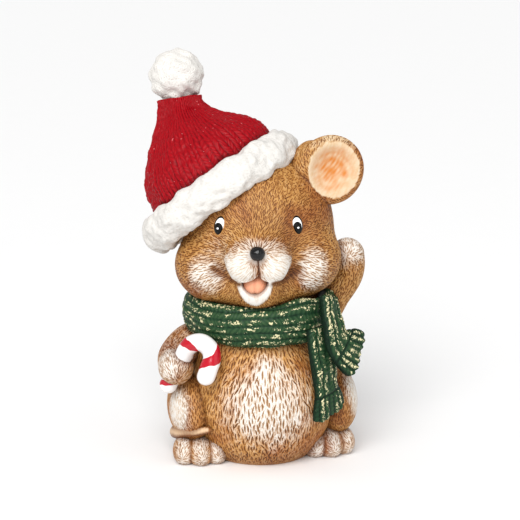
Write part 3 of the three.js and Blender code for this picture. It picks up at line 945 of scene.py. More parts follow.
@dataclass(frozen=True)
class FurPaint:
    """Brown paint over carved fur, dark in the nicks and dry-brushed cream on the pale patches."""

    groove: Colour = colour(62, 29, 5)
    shadow: Colour = colour(120, 70, 25)
    coat: Colour = colour(164, 111, 52)
    tip: Colour = colour(188, 139, 78)
    rust: Colour = colour(194, 131, 74)
    pale_groove: Colour = colour(140, 92, 48)
    pale_shadow: Colour = colour(190, 154, 112)
    pale: Colour = colour(213, 201, 186)
    pale_tip: Colour = colour(227, 222, 215)
    # Dark tone for painted creases, and for painted shade beside other pieces and near the floor.
    crease_and_shade_tone: Colour = colour(124, 72, 32)
    blush: Colour = colour(192, 120, 54)
    roughness: float = 0.5

    def material(self, name: str) -> bpy.types.Material:
        """Mixes the paint."""
        board = Board(name)
        grain = board.noise(0.75, 3.0)
        clouds = board.noise(22.0, 2.0)
        tint = board.layer(Layer.TINT)
        relief = board.layer(Layer.RELIEF) + (tint - 0.6) * 0.25 + (grain - 0.5) * 0.35
        coat = board.ramp(
            relief, [(0.12, self.groove), (0.48, self.shadow), (0.8, self.coat), (1.0, self.tip)]
        )
        coat = board.mix(clouds.ease(0.42, 0.72) * 0.65, coat, self.rust, "MULTIPLY")
        cream = board.ramp(
            relief,
            [(0.12, self.pale_groove), (0.45, self.pale_shadow), (0.75, self.pale), (1.0, self.pale_tip)],
        )
        brush = board.layer(Layer.PALE) * 1.2 + (tint - 0.5) * 0.22
        brush = brush + (relief - 0.9) * 0.35 + (grain - 0.5) * 0.25
        tone = board.mix(brush.ease(0.12, 1.05), coat, cream)
        tone = board.mix(board.layer(Layer.MARK), tone, self.blush)
        # Dark paint in creases, and painted shade in seams and near the floor, multiplied in.
        tone = board.mix(board.layer(Layer.WASH), tone, self.crease_and_shade_tone, "MULTIPLY")
        rough = self.roughness + (grain - 0.5) * 0.25
        return board.coat(
            base_color=tone, roughness=rough, specular_ior_level=0.3, normal=board.bump(grain, 0.14, 0.8)
        )


@dataclass(frozen=True)
class SkinPaint:
    """Satin paint on smooth skin: a ground, a lighter pale layer and a darker tone for creases and painted
    shade.
    """

    ground: Colour
    light: Colour
    crease_and_shade_tone: Colour
    roughness: float = 0.42

    def material(self, name: str) -> bpy.types.Material:
        """Mixes the paint."""
        board = Board(name)
        grain = board.noise(1.1, 3.0)
        clouds = board.noise(7.0, 2.0)
        light = (board.layer(Layer.PALE) + (clouds - 0.5) * 0.7).ease(0.15, 0.95)
        tone = board.mix(light, self.ground, self.light)
        # Darker in creases and where shade is painted: in seams, and under the tail.
        tone = board.mix(board.layer(Layer.WASH), tone, self.crease_and_shade_tone, "MULTIPLY")
        rough = self.roughness + (grain - 0.5) * 0.2
        bump = board.bump(grain, 0.1, 0.5)
        return board.coat(base_color=tone, roughness=rough, specular_ior_level=0.35, normal=bump)


@dataclass(frozen=True)
class KnitPaint:
    """Paint over carved knitting, dark between the ribs, with flecks of another colour on the tops."""

    groove: Colour
    ground: Colour
    top: Colour
    fleck: Colour
    fleck_edge: float
    roughness: float = 0.42

    def material(self, name: str) -> bpy.types.Material:
        """Mixes the paint."""
        board = Board(name)
        grain = board.noise(0.8, 3.0)
        clouds = board.noise(9.0, 2.0)
        relief = board.layer(Layer.RELIEF) + (grain - 0.5) * 0.35 + (clouds - 0.5) * 0.25
        tone = board.ramp(relief, [(0.05, self.groove), (0.45, self.ground), (1.0, self.top)])
        specks = board.noise(0.55, 2.0)
        flecks = (board.layer(Layer.FLECK) + (specks - 0.5) * self.fleck_edge).ease(0.45, 0.65)
        tone = board.mix(flecks, tone, self.fleck)
        # Painted shade in the seams beside other pieces, in the groove colour.
        tone = board.mix(board.layer(Layer.WASH), tone, self.groove, "MULTIPLY")
        rough = self.roughness + (grain - 0.5) * 0.25 + flecks * 0.1
        bump = board.bump(grain, 0.16, 0.8)
        return board.coat(base_color=tone, roughness=rough, specular_ior_level=0.12, normal=bump)


@dataclass(frozen=True)
class PlushPaint:
    """Matt white over carved plush, greyer between the tufts."""

    groove: Colour = colour(178, 172, 164)
    ground: Colour = colour(206, 202, 196)
    top: Colour = colour(217, 214, 209)
    roughness: float = 0.72

    def material(self, name: str) -> bpy.types.Material:
        """Mixes the paint."""
        board = Board(name)
        grain = board.noise(0.9, 4.0)
        relief = board.layer(Layer.RELIEF) + (grain - 0.5) * 0.3
        tone = board.ramp(relief, [(0.2, self.groove), (0.5, self.ground), (0.9, self.top)])
        rough = self.roughness + (grain - 0.5) * 0.2
        bump = board.bump(grain, 0.25, 0.8)
        return board.coat(base_color=tone, roughness=rough, specular_ior_level=0.2, normal=bump)


@dataclass(frozen=True)
class Enamel:
    """Gloss enamel with a second colour where the mark map says so, and a glint of paint on top."""

    ground: Colour
    mark: Colour
    glint: Colour = colour(255, 255, 255)
    roughness: float = 0.12
    gloss: float = 0.5

    def material(self, name: str) -> bpy.types.Material:
        """Mixes the enamel."""
        board = Board(name)
        grain = board.noise(1.6, 2.0)
        brush = (grain - 0.5) * 0.22
        tone = board.mix((board.layer(Layer.MARK) + brush).ease(0.42, 0.58), self.ground, self.mark)
        tone = board.mix(board.layer(Layer.GLINT).ease(0.4, 0.6), tone, self.glint)
        rough = self.roughness + (grain - 0.5) * 0.1
        return board.coat(
            base_color=tone,
            roughness=rough,
            specular_ior_level=self.gloss,
            normal=board.bump(grain, 0.06, 0.35),
        )


@dataclass(frozen=True)
class Felt:
    """Dark felt with pressed fibres."""

    ground: Colour = colour(40, 37, 34)
    fibre: Colour = colour(84, 79, 73)
    roughness: float = 0.9

    def material(self, name: str) -> bpy.types.Material:
        """Mixes the felt."""
        board = Board(name)
        fibres = board.noise(0.5, 4.0, (1.0, 3.0, 1.0)) * 0.5 + board.noise(0.5, 4.0, (3.0, 1.0, 1.0)) * 0.5
        tone = board.mix(fibres.ease(0.42, 0.68), self.ground, self.fibre)
        rough = self.roughness + (fibres - 0.5) * 0.1
        return board.coat(base_color=tone, roughness=rough, normal=board.bump(fibres, 0.4))


# Frames of the sub-assemblies
NECK_HEIGHT = 72.0
FIGURE = Place(Matrix.Identity(4))
BODY = Place(Matrix.Rotation(math.radians(12.0), 4, "Z"))
NECK = Place(Matrix.Translation((0.0, 0.0, NECK_HEIGHT)))
HEAD = Place(NECK.matrix @ Matrix.Translation((-1.0, 2.0, 41.0)))
HAT = Place(
    HEAD.matrix
    @ Matrix.Translation((-18.0, 1.0, 15.9))
    @ Matrix.Rotation(math.radians(-35.5), 4, "Y")
    @ Matrix.Rotation(math.radians(-11.0), 4, "X")
)
DOWN = np.array((0.0, 0.0, -1.0))


@dataclass
class Torso:
    """The torso casting, with the belly's long strokes."""

    paint: bpy.types.Material
    belly: Egg = Egg((0.5, -3, 31), (34.5, 36, 34.5))
    chest: Egg = Egg((-0.5, 1, NECK_HEIGHT - 13), (28, 26, 22))
    rump: Egg = Egg((0.5, 9, 27), (34, 31, 31))
    seat: Egg = Egg((0.5, 4, 10), (27, 25, 16))
    blend: float = 4.0
    pad_radius: float = 15.3
    pad_recess: float = 1.8
    stroke_depth: float = 0.75
    whirl: Vec = (-3.0, -24.0, 96.0)
    long_strokes: Strokes = Strokes(3.8, 0.8, 11, room=1.1, run=2.1)
    fine_strokes: Strokes = Strokes(2.2, 0.42, 13, room=0.8, depth=0.5)
    long_fur: Spot = Spot((-3, -38, 33), (27, 36, 27), 0.4)
    belly_patch: Spot = Spot((-3, -38, 32), (19, 34, 17), 0.9)
    belly_pale: float = 0.84
    breast_patch: Spot = Spot((-3, -35, 45), (9, 30, 11), 0.7)
    breast_pale: float = 0.75
    front_pale: float = 0.12
    # Strength and height of the painted shade near the floor.
    floor_shade: float = 0.42
    floor_shade_height: float = 13.0
    pad_step: float = 0.7

    def casting(self) -> Casting:
        """The torso's form in its place."""
        lobes = (self.belly, self.chest, self.rump, self.seat)
        return Casting(Form(lobes, self.belly.at, self.blend), BODY)

    def build(self, head: Casting, neighbours: Sequence[Body]) -> None:
        """Carves the torso.

        Args:
            head: The head, which the torso's top is dished for.
            neighbours: The limbs that lie against it.
        """
        carving = Carving.of(self.casting(), ball_blank(6, 2), (-0.1, -1.0, 0.0), 0.62)
        points = carving.points
        front = ease(-4.0, -26.0, points[:, 1])
        flow = unit(points - np.array(self.whirl)) * front[:, None] + DOWN * (1.0 - front)[:, None]
        shown = carving.clear_of([head, *neighbours], 2.0) * ease(0.5, 2.5, points[:, 2])
        belly = self.long_fur.cover(points)
        size = 0.8 + 0.35 * belly + 0.5 * (1.0 - front)
        carving.nick([self.long_strokes, self.fine_strokes], flow, shown, size)
        carving.paint(Layer.PALE, self.belly_pale * self.belly_patch.cover(points))
        carving.paint(Layer.PALE, self.breast_pale * self.breast_patch.cover(points))
        carving.paint(Layer.PALE, self.front_pale * front)
        # Painted shade, darker towards the floor.
        carving.paint(Layer.WASH, self.floor_shade * (1.0 - ease(0.0, self.floor_shade_height, points[:, 2])))
        for body in neighbours:
            carving.shade_beside(body, 3.0, 0.25)
        carving.raised(carving.fur_height(shown * self.stroke_depth * (0.6 + 0.4 * belly)))
        carving.seat(head)
        carving.stand()
        recessed = carving.points.copy()
        away = np.hypot(recessed[:, 0], recessed[:, 1])
        under = (recessed[:, 2] < 0.01) & (away < self.pad_radius + self.pad_step)
        depth = self.pad_recess * (1.0 - ease(self.pad_radius, self.pad_radius + self.pad_step, away))
        recessed[:, 2] = np.where(under, depth, recessed[:, 2])
        carving.move(recessed)
        carving.finish("carved_torso", "torso_casting", "fur_paint", self.paint)


@dataclass
class BasePad:
    """The felt pad, flush in the underside."""

    felt: bpy.types.Material
    radius: float = 15.0
    thickness: float = 1.5
    edge: float = 0.35
    sides: int = 96

    def build(self) -> None:
        """Cuts the pad and rounds its edges."""
        blank = bmesh.new()
        bmesh.ops.create_circle(blank, cap_ends=True, segments=self.sides, radius=self.radius)
        lifted = bmesh.ops.extrude_face_region(blank, geom=blank.faces[:])
        top = [item for item in lifted["geom"] if isinstance(item, bmesh.types.BMVert)]
        bmesh.ops.translate(blank, verts=top, vec=(0.0, 0.0, self.thickness))
        bmesh.ops.recalc_face_normals(blank, faces=blank.faces[:])
        rims = [edge for edge in blank.edges if edge.calc_face_angle(0.0) > 1.0]
        bmesh.ops.bevel(
            blank, geom=rims, offset=self.edge, segments=3, profile=0.5, affect="EDGES", material=-1
        )
        carving = Carving(blank, FIGURE)
        carving.move(carving.points)
        carving.finish("felt_pad", "base_pad", "felt", self.felt)


@dataclass
class Legs:
    """Haunches on the torso's flanks, and three-toed feet before them."""

    paint: bpy.types.Material
    pale_paint: bpy.types.Material
    haunch_radii: Vec = (11, 21, 17)
    right_haunch: Vec = (-34.5, 0, 25.5)
    left_haunch: Vec = (36.5, -2, 25.5)
    right_foot: Vec = (-30.5, -2.5, 0)
    left_foot: Vec = (30.5, -3, 0)
    splay: float = 8.0
    instep: Egg = Egg((0, 5, 6), (11.5, 15, 10.5))
    toe_radii: Vec = (5.2, 8.5, 7)
    toe_spacing: float = 8.0
    toe_height: float = 5.8
    middle_reach: float = -10.5
    side_reach: float = -8.0
    blend: float = 1.5
    right_knee: Vec = (-43, -12, 27)
    left_knee: Vec = (44, -15, 31)
    knee_radii: Vec = (6.5, 8.5, 9.5)
    knee_edge: float = 0.75
    haunch_pale: float = 0.05
    toe_patch: Vec = (4.4, 10.5, 8.8)
    toe_pale: float = 0.8
    foot_pale: float = 0.22
    haunch_stroke: tuple[float, float] = (2.6, 0.55)
    foot_stroke: tuple[float, float] = (2.3, 0.5)
    stroke_depth: float = 0.5
    haunch_seed: int = 21
    foot_seed: int = 31

    def haunch(self, side: Side) -> Casting:
        """A haunch in its place."""
        at = side.pick(self.right_haunch, self.left_haunch)
        return Casting(Form((Egg(at, self.haunch_radii),), at), BODY)

    def foot(self, side: Side) -> Casting:
        """A foot in its place."""
        at = side.pick(self.right_foot, self.left_foot)
        turn = Matrix.Rotation(math.radians(self.splay * side.value), 4, "Z")
        reaches = {-1: self.side_reach, 0: self.middle_reach, 1: self.side_reach}
        toes = tuple(
            Egg((place * self.toe_spacing, reach, self.toe_height), self.toe_radii)
            for place, reach in reaches.items()
        )
        form = Form((self.instep, *toes), (0, 0, self.toe_height), self.blend)
        return Casting(form, Place(BODY.matrix @ Matrix.Translation(at) @ turn))

    def build(self, torso: Casting, tail: Body) -> None:
        """Carves both legs.

        Args:
            torso: The torso that they are seated on.
            tail: The tail over the right foot.
        """
        for side in Side:
            self._haunch(side, torso, tail)
            self._foot(side, torso, tail)

    def _haunch(self, side: Side, torso: Casting, tail: Body) -> None:
        """Carves a haunch, brushed pale on its knee."""
        casting = self.haunch(side)
        foot = self.foot(side)
        centre = np.array(casting.form.centre)
        carving = Carving.of(casting, ball_blank(7), (side.value, -1.2, 0), 0.8)
        points = carving.points
        flow = unit((points - centre - np.array((0, 4, 20))) * (0.6, 0.8, 1.0)) + DOWN
        shown = carving.clear_of([torso, foot, tail], 1.0) * ease(0.4, 1.5, points[:, 2])
        carving.nick([Strokes(*self.haunch_stroke, self.haunch_seed + side.value)], flow, shown)
        knee = Spot(side.pick(self.right_knee, self.left_knee), self.knee_radii, self.knee_edge)
        carving.paint(Layer.PALE, np.maximum(knee.cover(points), self.haunch_pale))
        carving.shade_beside(torso, 4.0, 0.5)
        carving.shade_beside(foot, 3.0, 0.5)
        carving.raised(carving.fur_height(self.stroke_depth * shown))
        carving.seat(torso)
        carving.stand()
        carving.finish(f"carved_{side.label}_haunch", f"{side.label}_haunch", "fur_paint", self.paint)

    def _foot(self, side: Side, torso: Casting, tail: Body) -> None:
        """Carves a foot, with dark paint between its toes and painted shade towards the floor."""
        casting = self.foot(side)
        haunch = self.haunch(side)
        carving = Carving.of(casting, ball_blank(7), (0, -1, 0.3), 0.7)
        points = carving.points
        crease = casting.form.crease(points) * (1.0 - ease(-4.0, 4.0, points[:, 1]))
        flow = unit(points - np.array((0, 14, 16)))
        shown = carving.clear_of([torso, haunch, tail], 1.0) * ease(0.3, 1.2, points[:, 2])
        strokes = Strokes(*self.foot_stroke, self.foot_seed + side.value)
        carving.nick([strokes], flow, shown * (1.0 - 0.7 * crease))
        toes = [Spot(toe.at, self.toe_patch, 0.5) for toe in casting.form.lobes[1:]]
        brushed = self.toe_pale * patches(points, toes) * ease(5.0, -6.0, points[:, 1])
        carving.paint(Layer.PALE, np.maximum(brushed, self.foot_pale))
        carving.paint(Layer.WASH, 0.6 * ease(0.35, 0.95, crease))
        # Painted shade, darker towards the floor.
        carving.paint(Layer.WASH, 0.4 * (1.0 - ease(0.0, 3.0, points[:, 2])))
        for body in (torso, haunch, tail):
            carving.shade_beside(body, 3.0, 0.55)
        carving.raised(carving.fur_height(self.stroke_depth * shown) - 0.4 * ease(0.5, 1.0, crease))
        carving.seat(torso)
        carving.seat(haunch)
        carving.stand()
        carving.finish(f"carved_{side.label}_foot", f"{side.label}_foot", "pale_fur_paint", self.pale_paint)


@dataclass
class Tail:
    """The smooth tail, from the rump round the right side and over the right foot."""

    paint: bpy.types.Material
    limb: Limb = Limb(
        (
            (4, 31, 14), (-8, 38, 9), (-21, 35, 6.5), (-34, 22.5, 6.5), (-39.5, 7, 8.5),
            (-40.5, -8, 12), (-37.5, -18.5, 15.5), (-31, -24.5, 17.5), (-23, -28, 19.5),
        ),
        (3.4, 3.4, 2.6),
        FIGURE,
    )
    ring_pitch: float = 1.7
    ring_depth: float = 0.09
    taper: float = 0.45

    def build(self, torso: Casting, beside: Sequence[Body]) -> None:
        """Shapes the tail, with faint rings, with painted light on its outer, front and upper side and
        painted shade underneath.

        Args:
            torso: The rump that it grows from.
            beside: The haunch and foot that it lies against.
        """
        carving = Carving(sleeve_blank(64, 420), FIGURE)
        points, share = self.limb.skin(*carving.globe())
        middle = self.limb.path().at(share)
        thin = 1.0 - self.taper * ease(0.8, 1.0, share)
        carving.move(middle + (points - middle) * thin[:, None])
        points = carving.points
        rings = np.sin(share * self.limb.path().length * FULL_TURN / self.ring_pitch)
        wander = lumps(points, 9.0, 41)
        carving.raised(rings * self.ring_depth + wander * 0.18)
        # Painted light: paler where the skin faces out, forward and up; painted shade on the underside.
        facing = carving.normals @ unit(np.array((-0.55, -0.7, 0.35)))
        carving.paint(Layer.PALE, ease(0.2, 1.1, facing))
        carving.paint(Layer.WASH, 0.55 * ease(0.15, -0.75, carving.normals[:, 2]))
        carving.shade_beside(torso, 3.0, 0.7)
        for body in beside:
            carving.shade_beside(body, 2.2, 0.6)
        carving.seat(torso)
        carving.stand()
        carving.finish("smooth_tail", "tail", "skin_paint", self.paint)


@dataclass
class Head:
    """The head casting: skull, cheeks, muzzle and open mouth."""

    paint: bpy.types.Material
    skull: Egg = Egg((0.5, 0, 0), (35.7, 35, 36))
    right_cheek: Egg = Egg((-18.5, -10, -17.5), (21, 21, 18))
    left_cheek: Egg = Egg((18.5, -10, -14.5), (21, 21, 18))
    chin: Egg = Egg((0, -15, -24.5), (22, 18, 14))
    bridge: Egg = Egg((0, -31, -5.5), (14.5, 12, 9.5))
    right_pad: Egg = Egg((-7.2, -37, -12), (7.6, 8, 8))
    left_pad: Egg = Egg((7.2, -37, -12), (7.6, 8, 8))
    lip: Egg = Egg((0, -30.5, -25), (10.5, 9, 8))
    pad_patch: Vec = (8.6, 9.4, 9.0)
    smile_radii: Vec = (5.5, 4.5, 2.6)
    smile_at: Vec = (19.5, -35, -15.5)
    smile_turn: float = 35.0
    blend: float = 2.2
    centre: Vec = (0, -8, -4)
    nose: Vec = (-0.2, -44, -6.2)
    mouth_x: float = -1.3
    mouth_z: float = -19.2
    mouth_half_width: float = 6.3
    mouth_drop: float = 7.5
    mouth_depth: float = 6.5
    lip_half_width: float = 8.2
    lip_drop: float = 11.6
    seam: Line = Line(((0.1, -8), (0.3, -11), (0.5, -14), (0.7, -17)), 1.5)
    right_crease: Line = Line(
        ((-20.6, -15.2), (-18.8, -16.4), (-16, -18), (-12.5, -19.8), (-8.5, -20.4)), 4.6
    )
    left_crease: Line = Line(((19.2, -15.4), (17.6, -16.6), (15.2, -18.4), (12.2, -19.8), (7.4, -20.2)), 4.6)
    strokes: Strokes = Strokes(2.8, 0.42, 51, room=0.62, run=1.6)
    stroke_depth: float = 0.42
    lip_ridge: float = 0.7
    seam_depth: float = 0.9
    crease_depth: float = 0.5
    socket_depth: float = 0.25
    bridge_patch: Spot = Spot((0, -41, -6), (13, 11, 6.5), 0.7)
    bridge_pale: float = 0.7
    cheek_patches: tuple[Spot, ...] = (
        Spot((-24, -29, -18.5), (8.5, 11, 8.5), 0.75),
        Spot((26, -28, -16), (7, 11, 10.5), 0.7),
    )
    cheek_pale: float = 0.75
    temple_patch: Spot = Spot((-17, -32, -8), (10, 12, 9), 0.9)
    temple_pale: float = 0.3
    corner_patches: tuple[Spot, ...] = (
        Spot((-18.4, -31, -16.6), (4.2, 8, 3.2), 0.7),
        Spot((17.6, -31, -16.6), (4.2, 8, 3.2), 0.7),
    )
    corner_wash: float = 0.6
    eye_shadow: Spot = Spot((13, -32, 3), (8, 12, 10), 0.8)

    def casting(self) -> Casting:
        """The head's form in its place."""
        round_lobes = (self.skull, self.right_cheek, self.left_cheek, self.chin)
        lobes = (*round_lobes, self.bridge, self.right_pad, self.left_pad, self.lip)
        x, y, z = self.smile_at
        hollows = (
            Egg((x, y, z), self.smile_radii, -self.smile_turn),
            Egg((-x, y, z), self.smile_radii, self.smile_turn),
        )
        return Casting(Form(lobes, self.centre, self.blend, hollows), HEAD)

    def pads_edge(self, points: np.ndarray) -> np.ndarray:
        """Height of points over the lower edge of the muzzle's pads, negative under it."""
        x = np.abs(points[:, 0]) - self.left_pad.at[0]
        inside = np.maximum(1.0 - (x / (self.left_pad.radii[0] + 1.0)) ** 2, 0.0)
        return points[:, 2] - (self.left_pad.at[2] - (self.left_pad.radii[2] - 0.6) * np.sqrt(inside))

    def mouth(self, points: np.ndarray, half_width: float, drop: float) -> np.ndarray:
        """Share of the way from the mouth's middle to an edge that is rounded to a point below.

        Args:
            points: Points of the head.
            half_width: Half width of the edge.
            drop: Its depth below the middle.

        Returns:
            1 on the edge, less inside it.
        """
        x = np.abs(points[:, 0] - self.mouth_x) / half_width
        z = np.abs(points[:, 2] - self.mouth_z) / drop
        return (x**1.8 + z**1.8) ** (1 / 1.8)

    def build(self, hat: Sequence[Body], scarf: Body, eyes: Sequence[Egg]) -> None:
        """Carves the head.

        Args:
            hat: The hat's crown and cuff, which hide the top.
            scarf: The scarf, which hides the neck.
            eyes: The eyes, which the fur is kept clear of.
        """
        carving = Carving.of(self.casting(), ball_blank(6, 2), (0, -35, -8), 0.55)
        points = carving.points
        before = ease(-26.0, -31.0, points[:, 1])
        under = self.pads_edge(points)
        opening = ease(1.04, 0.93, self.mouth(points, self.mouth_half_width, self.mouth_drop))
        opening = opening * ease(0.5, -0.4, under) * before
        lip = ease(1.14, 0.9, self.mouth(points, self.lip_half_width, self.lip_drop))
        lip = lip * ease(1.5, -0.6, under) * before
        seam = self.seam.cover(points)
        creases = np.maximum(self.right_crease.cover(points), self.left_crease.cover(points))
        muzzle = [Spot(pad.at, self.pad_patch, 0.22) for pad in (self.right_pad, self.left_pad)]
        pads = patches(points, muzzle)
        sockets = np.max([ease(1.1, 0.25, eye.distance(points)) for eye in eyes], axis=0)
        snout = ease(4.8, 3.6, lengths(points - np.array(self.nose)))
        bare = np.maximum.reduce([opening, snout, sockets, 0.88 * lip])
        shown = carving.clear_of([*hat, scarf], 1.0) * (1.0 - bare)
        away = unit(points - np.array(self.nose))
        behind = ease(4.0, 30.0, points[:, 1])
        flow = away * (1.0 - behind)[:, None] + DOWN * behind[:, None]
        self._paint(carving, opening, lip, pads, seam, creases)
        size = 1.0 + 0.55 * behind + 0.45 * carving.layer(Layer.PALE)
        carving.nick([self.strokes], flow, shown * (1.0 - 0.68 * pads), size)
        strokes = carving.fur_height(shown * self.stroke_depth)
        ridge = self.lip_ridge * lip * (1.0 - opening)
        lines = self.seam_depth * seam + self.crease_depth * creases + self.socket_depth * sockets
        carving.raised(strokes + ridge - lines)
        inward = np.array((0.0, 1.0, 0.15)) * (self.mouth_depth * opening)[:, None]
        carving.move(carving.points + inward)
        carving.finish("carved_head", "head_casting", "fur_paint", self.paint)

    def _paint(
        self,
        carving: Carving,
        opening: np.ndarray,
        lip: np.ndarray,
        pads: np.ndarray,
        seam: np.ndarray,
        creases: np.ndarray,
    ) -> None:
        """Paints the face's pale patches and dark washes.

        Args:
            carving: The head.
            opening: Cover of the open mouth.
            lip: Cover of the lower lip.
            pads: Cover of the muzzle's pads.
            seam: Cover of the line under the nose.
            creases: Cover of the smile's creases.
        """
        points = carving.points
        bridge = self.bridge_pale * self.bridge_patch.cover(points)
        cheeks = self.cheek_pale * patches(points, self.cheek_patches)
        temple = self.temple_pale * self.temple_patch.cover(points)
        pale = np.maximum.reduce([lip, pads, bridge, cheeks, temple])
        carving.paint(Layer.PALE, np.maximum(pale, 0.04) * (1.0 - 0.8 * creases))
        carving.paint(Layer.WASH, 0.3 * ease(6.0, 3.8, lengths(points - np.array(self.nose))))
        carving.paint(Layer.WASH, np.maximum(0.75 * creases, seam))
        carving.paint(Layer.WASH, self.corner_wash * patches(points, self.corner_patches))
        carving.paint(Layer.WASH, opening)
        carving.paint(Layer.WASH, 0.25 * self.eye_shadow.cover(points))


@dataclass
class Face:
    """Enamelled eyes and nose, and the tongue."""

    eye_enamel: bpy.types.Material
    nose_enamel: bpy.types.Material
    tongue_paint: bpy.types.Material
    eye_radii: Vec = (2.65, 2.2, 4.5)
    right_eye: Vec = (-19.2, -31, 5.9)
    left_eye: Vec = (19.6, -31, 6.1)
    eye_set: float = 0.7
    right_lean: float = 12.0
    left_lean: float = -6.0
    right_pupil: tuple[float, float] = (-0.62, -1.35)
    left_pupil: tuple[float, float] = (0.15, -1.1)
    right_glint: tuple[float, float] = (-1.0, -1.0)
    left_glint: tuple[float, float] = (0.55, -0.85)
    pupil_radii: tuple[float, float] = (2.0, 3.0)
    glint_radius: float = 0.45
    outline: float = 0.85
    nose_at: Vec = (-0.2, -46, -5.1)
    nose_proud: float = 0.8
    nose_radii: Vec = (3.55, 3.5, 3.4)
    tongue: Egg = Egg((-1.4, -32.8, -21.5), (5.7, 6.3, 5.1))
    tongue_groove: float = 0.4

    def eye(self, head: Casting, side: Side) -> Egg:
        """An eye, set in the head's skin."""
        at = side.pick(self.right_eye, self.left_eye)
        lean = side.pick(self.right_lean, self.left_lean)
        return Egg(tuple(self._set_in(head, at, self.eye_set)), self.eye_radii, lean)

    def build(self, head: Casting) -> None:
        """Makes the pieces of the face, set in the head's skin."""
        for side in Side:
            pupil = side.pick(self.right_pupil, self.left_pupil)
            self._eye(head, side, pupil, side.pick(self.right_glint, self.left_glint))
        self._nose(head)
        self._tongue()

    def _set_in(self, head: Casting, at: Vec, depth: float) -> np.ndarray:
        """The point under the head's skin towards a place, at a depth."""
        centre = np.array(head.form.centre, float)
        towards = unit(np.array(at, float) - centre)
        return head.form.skin(towards[None])[0] - towards * depth

    def _eye(
        self, head: Casting, side: Side, pupil: tuple[float, float], glint: tuple[float, float]
    ) -> None:
        """Makes an eye: white, with a pupil low in it and a fine black outline.

        Args:
            head: The head.
            side: The eye's side.
            pupil: Middle of the pupil, across and up from the eye's middle.
            glint: Middle of the painted glint.
        """
        egg = self.eye(head, side)
        carving = Carving.of(Casting(Form((egg,), egg.at), HEAD), ball_blank(6), (0, -1, 0), 0.6)
        seen = carving.points - np.array(egg.at)
        before = seen[:, 1] < 0
        x, z = seen[:, 0], seen[:, 2]
        share = np.hypot((x - pupil[0]) / self.pupil_radii[0], (z - pupil[1]) / self.pupil_radii[1])
        lean = math.radians(egg.turn)
        turned = (x * math.cos(lean) - z * math.sin(lean), x * math.sin(lean) + z * math.cos(lean))
        edge = np.hypot(turned[0] / self.eye_radii[0], turned[1] / self.eye_radii[2])
        rim = ease(self.outline - 0.04, self.outline + 0.04, edge)
        carving.paint(Layer.MARK, np.maximum(rim, ease(1.1, 0.95, share) * before))
        spot = np.hypot(x - glint[0], z - glint[1]) / self.glint_radius
        carving.paint(Layer.GLINT, ease(1.2, 0.85, spot) * before)
        carving.finish(f"enamel_{side.label}_eye", f"{side.label}_eye", "eye_enamel", self.eye_enamel)

    def _nose(self, head: Casting) -> None:
        """Makes the nose, a slightly flattened bead."""
        centre = self._set_in(head, self.nose_at, -self.nose_proud)
        egg = Egg(tuple(centre), self.nose_radii)
        carving = Carving(ball_blank(6), HEAD)
        carving.move(Form((egg,), egg.at).skin(unit(carving.points)))
        carving.raised(0.08 * lumps(carving.points, 3.5, 61))
        carving.finish("enamel_nose", "nose", "nose_enamel", self.nose_enamel)

    def _tongue(self) -> None:
        """Makes the tongue, with a soft groove down its middle."""
        carving = Carving(ball_blank(6), HEAD)
        carving.move(Form((self.tongue,), self.tongue.at).skin(unit(carving.points)))
        seen = carving.points - np.array(self.tongue.at)
        groove = ease(1.3, 0.0, np.abs(seen[:, 0])) * ease(2.0, -2.0, seen[:, 1])
        carving.raised(-self.tongue_groove * groove)
        carving.paint(Layer.WASH, 0.18 * groove)
        carving.paint(Layer.PALE, 0.7 * ease(1.0, -4.0, seen[:, 2]))
        carving.finish("painted_tongue", "tongue", "tongue_paint", self.tongue_paint)


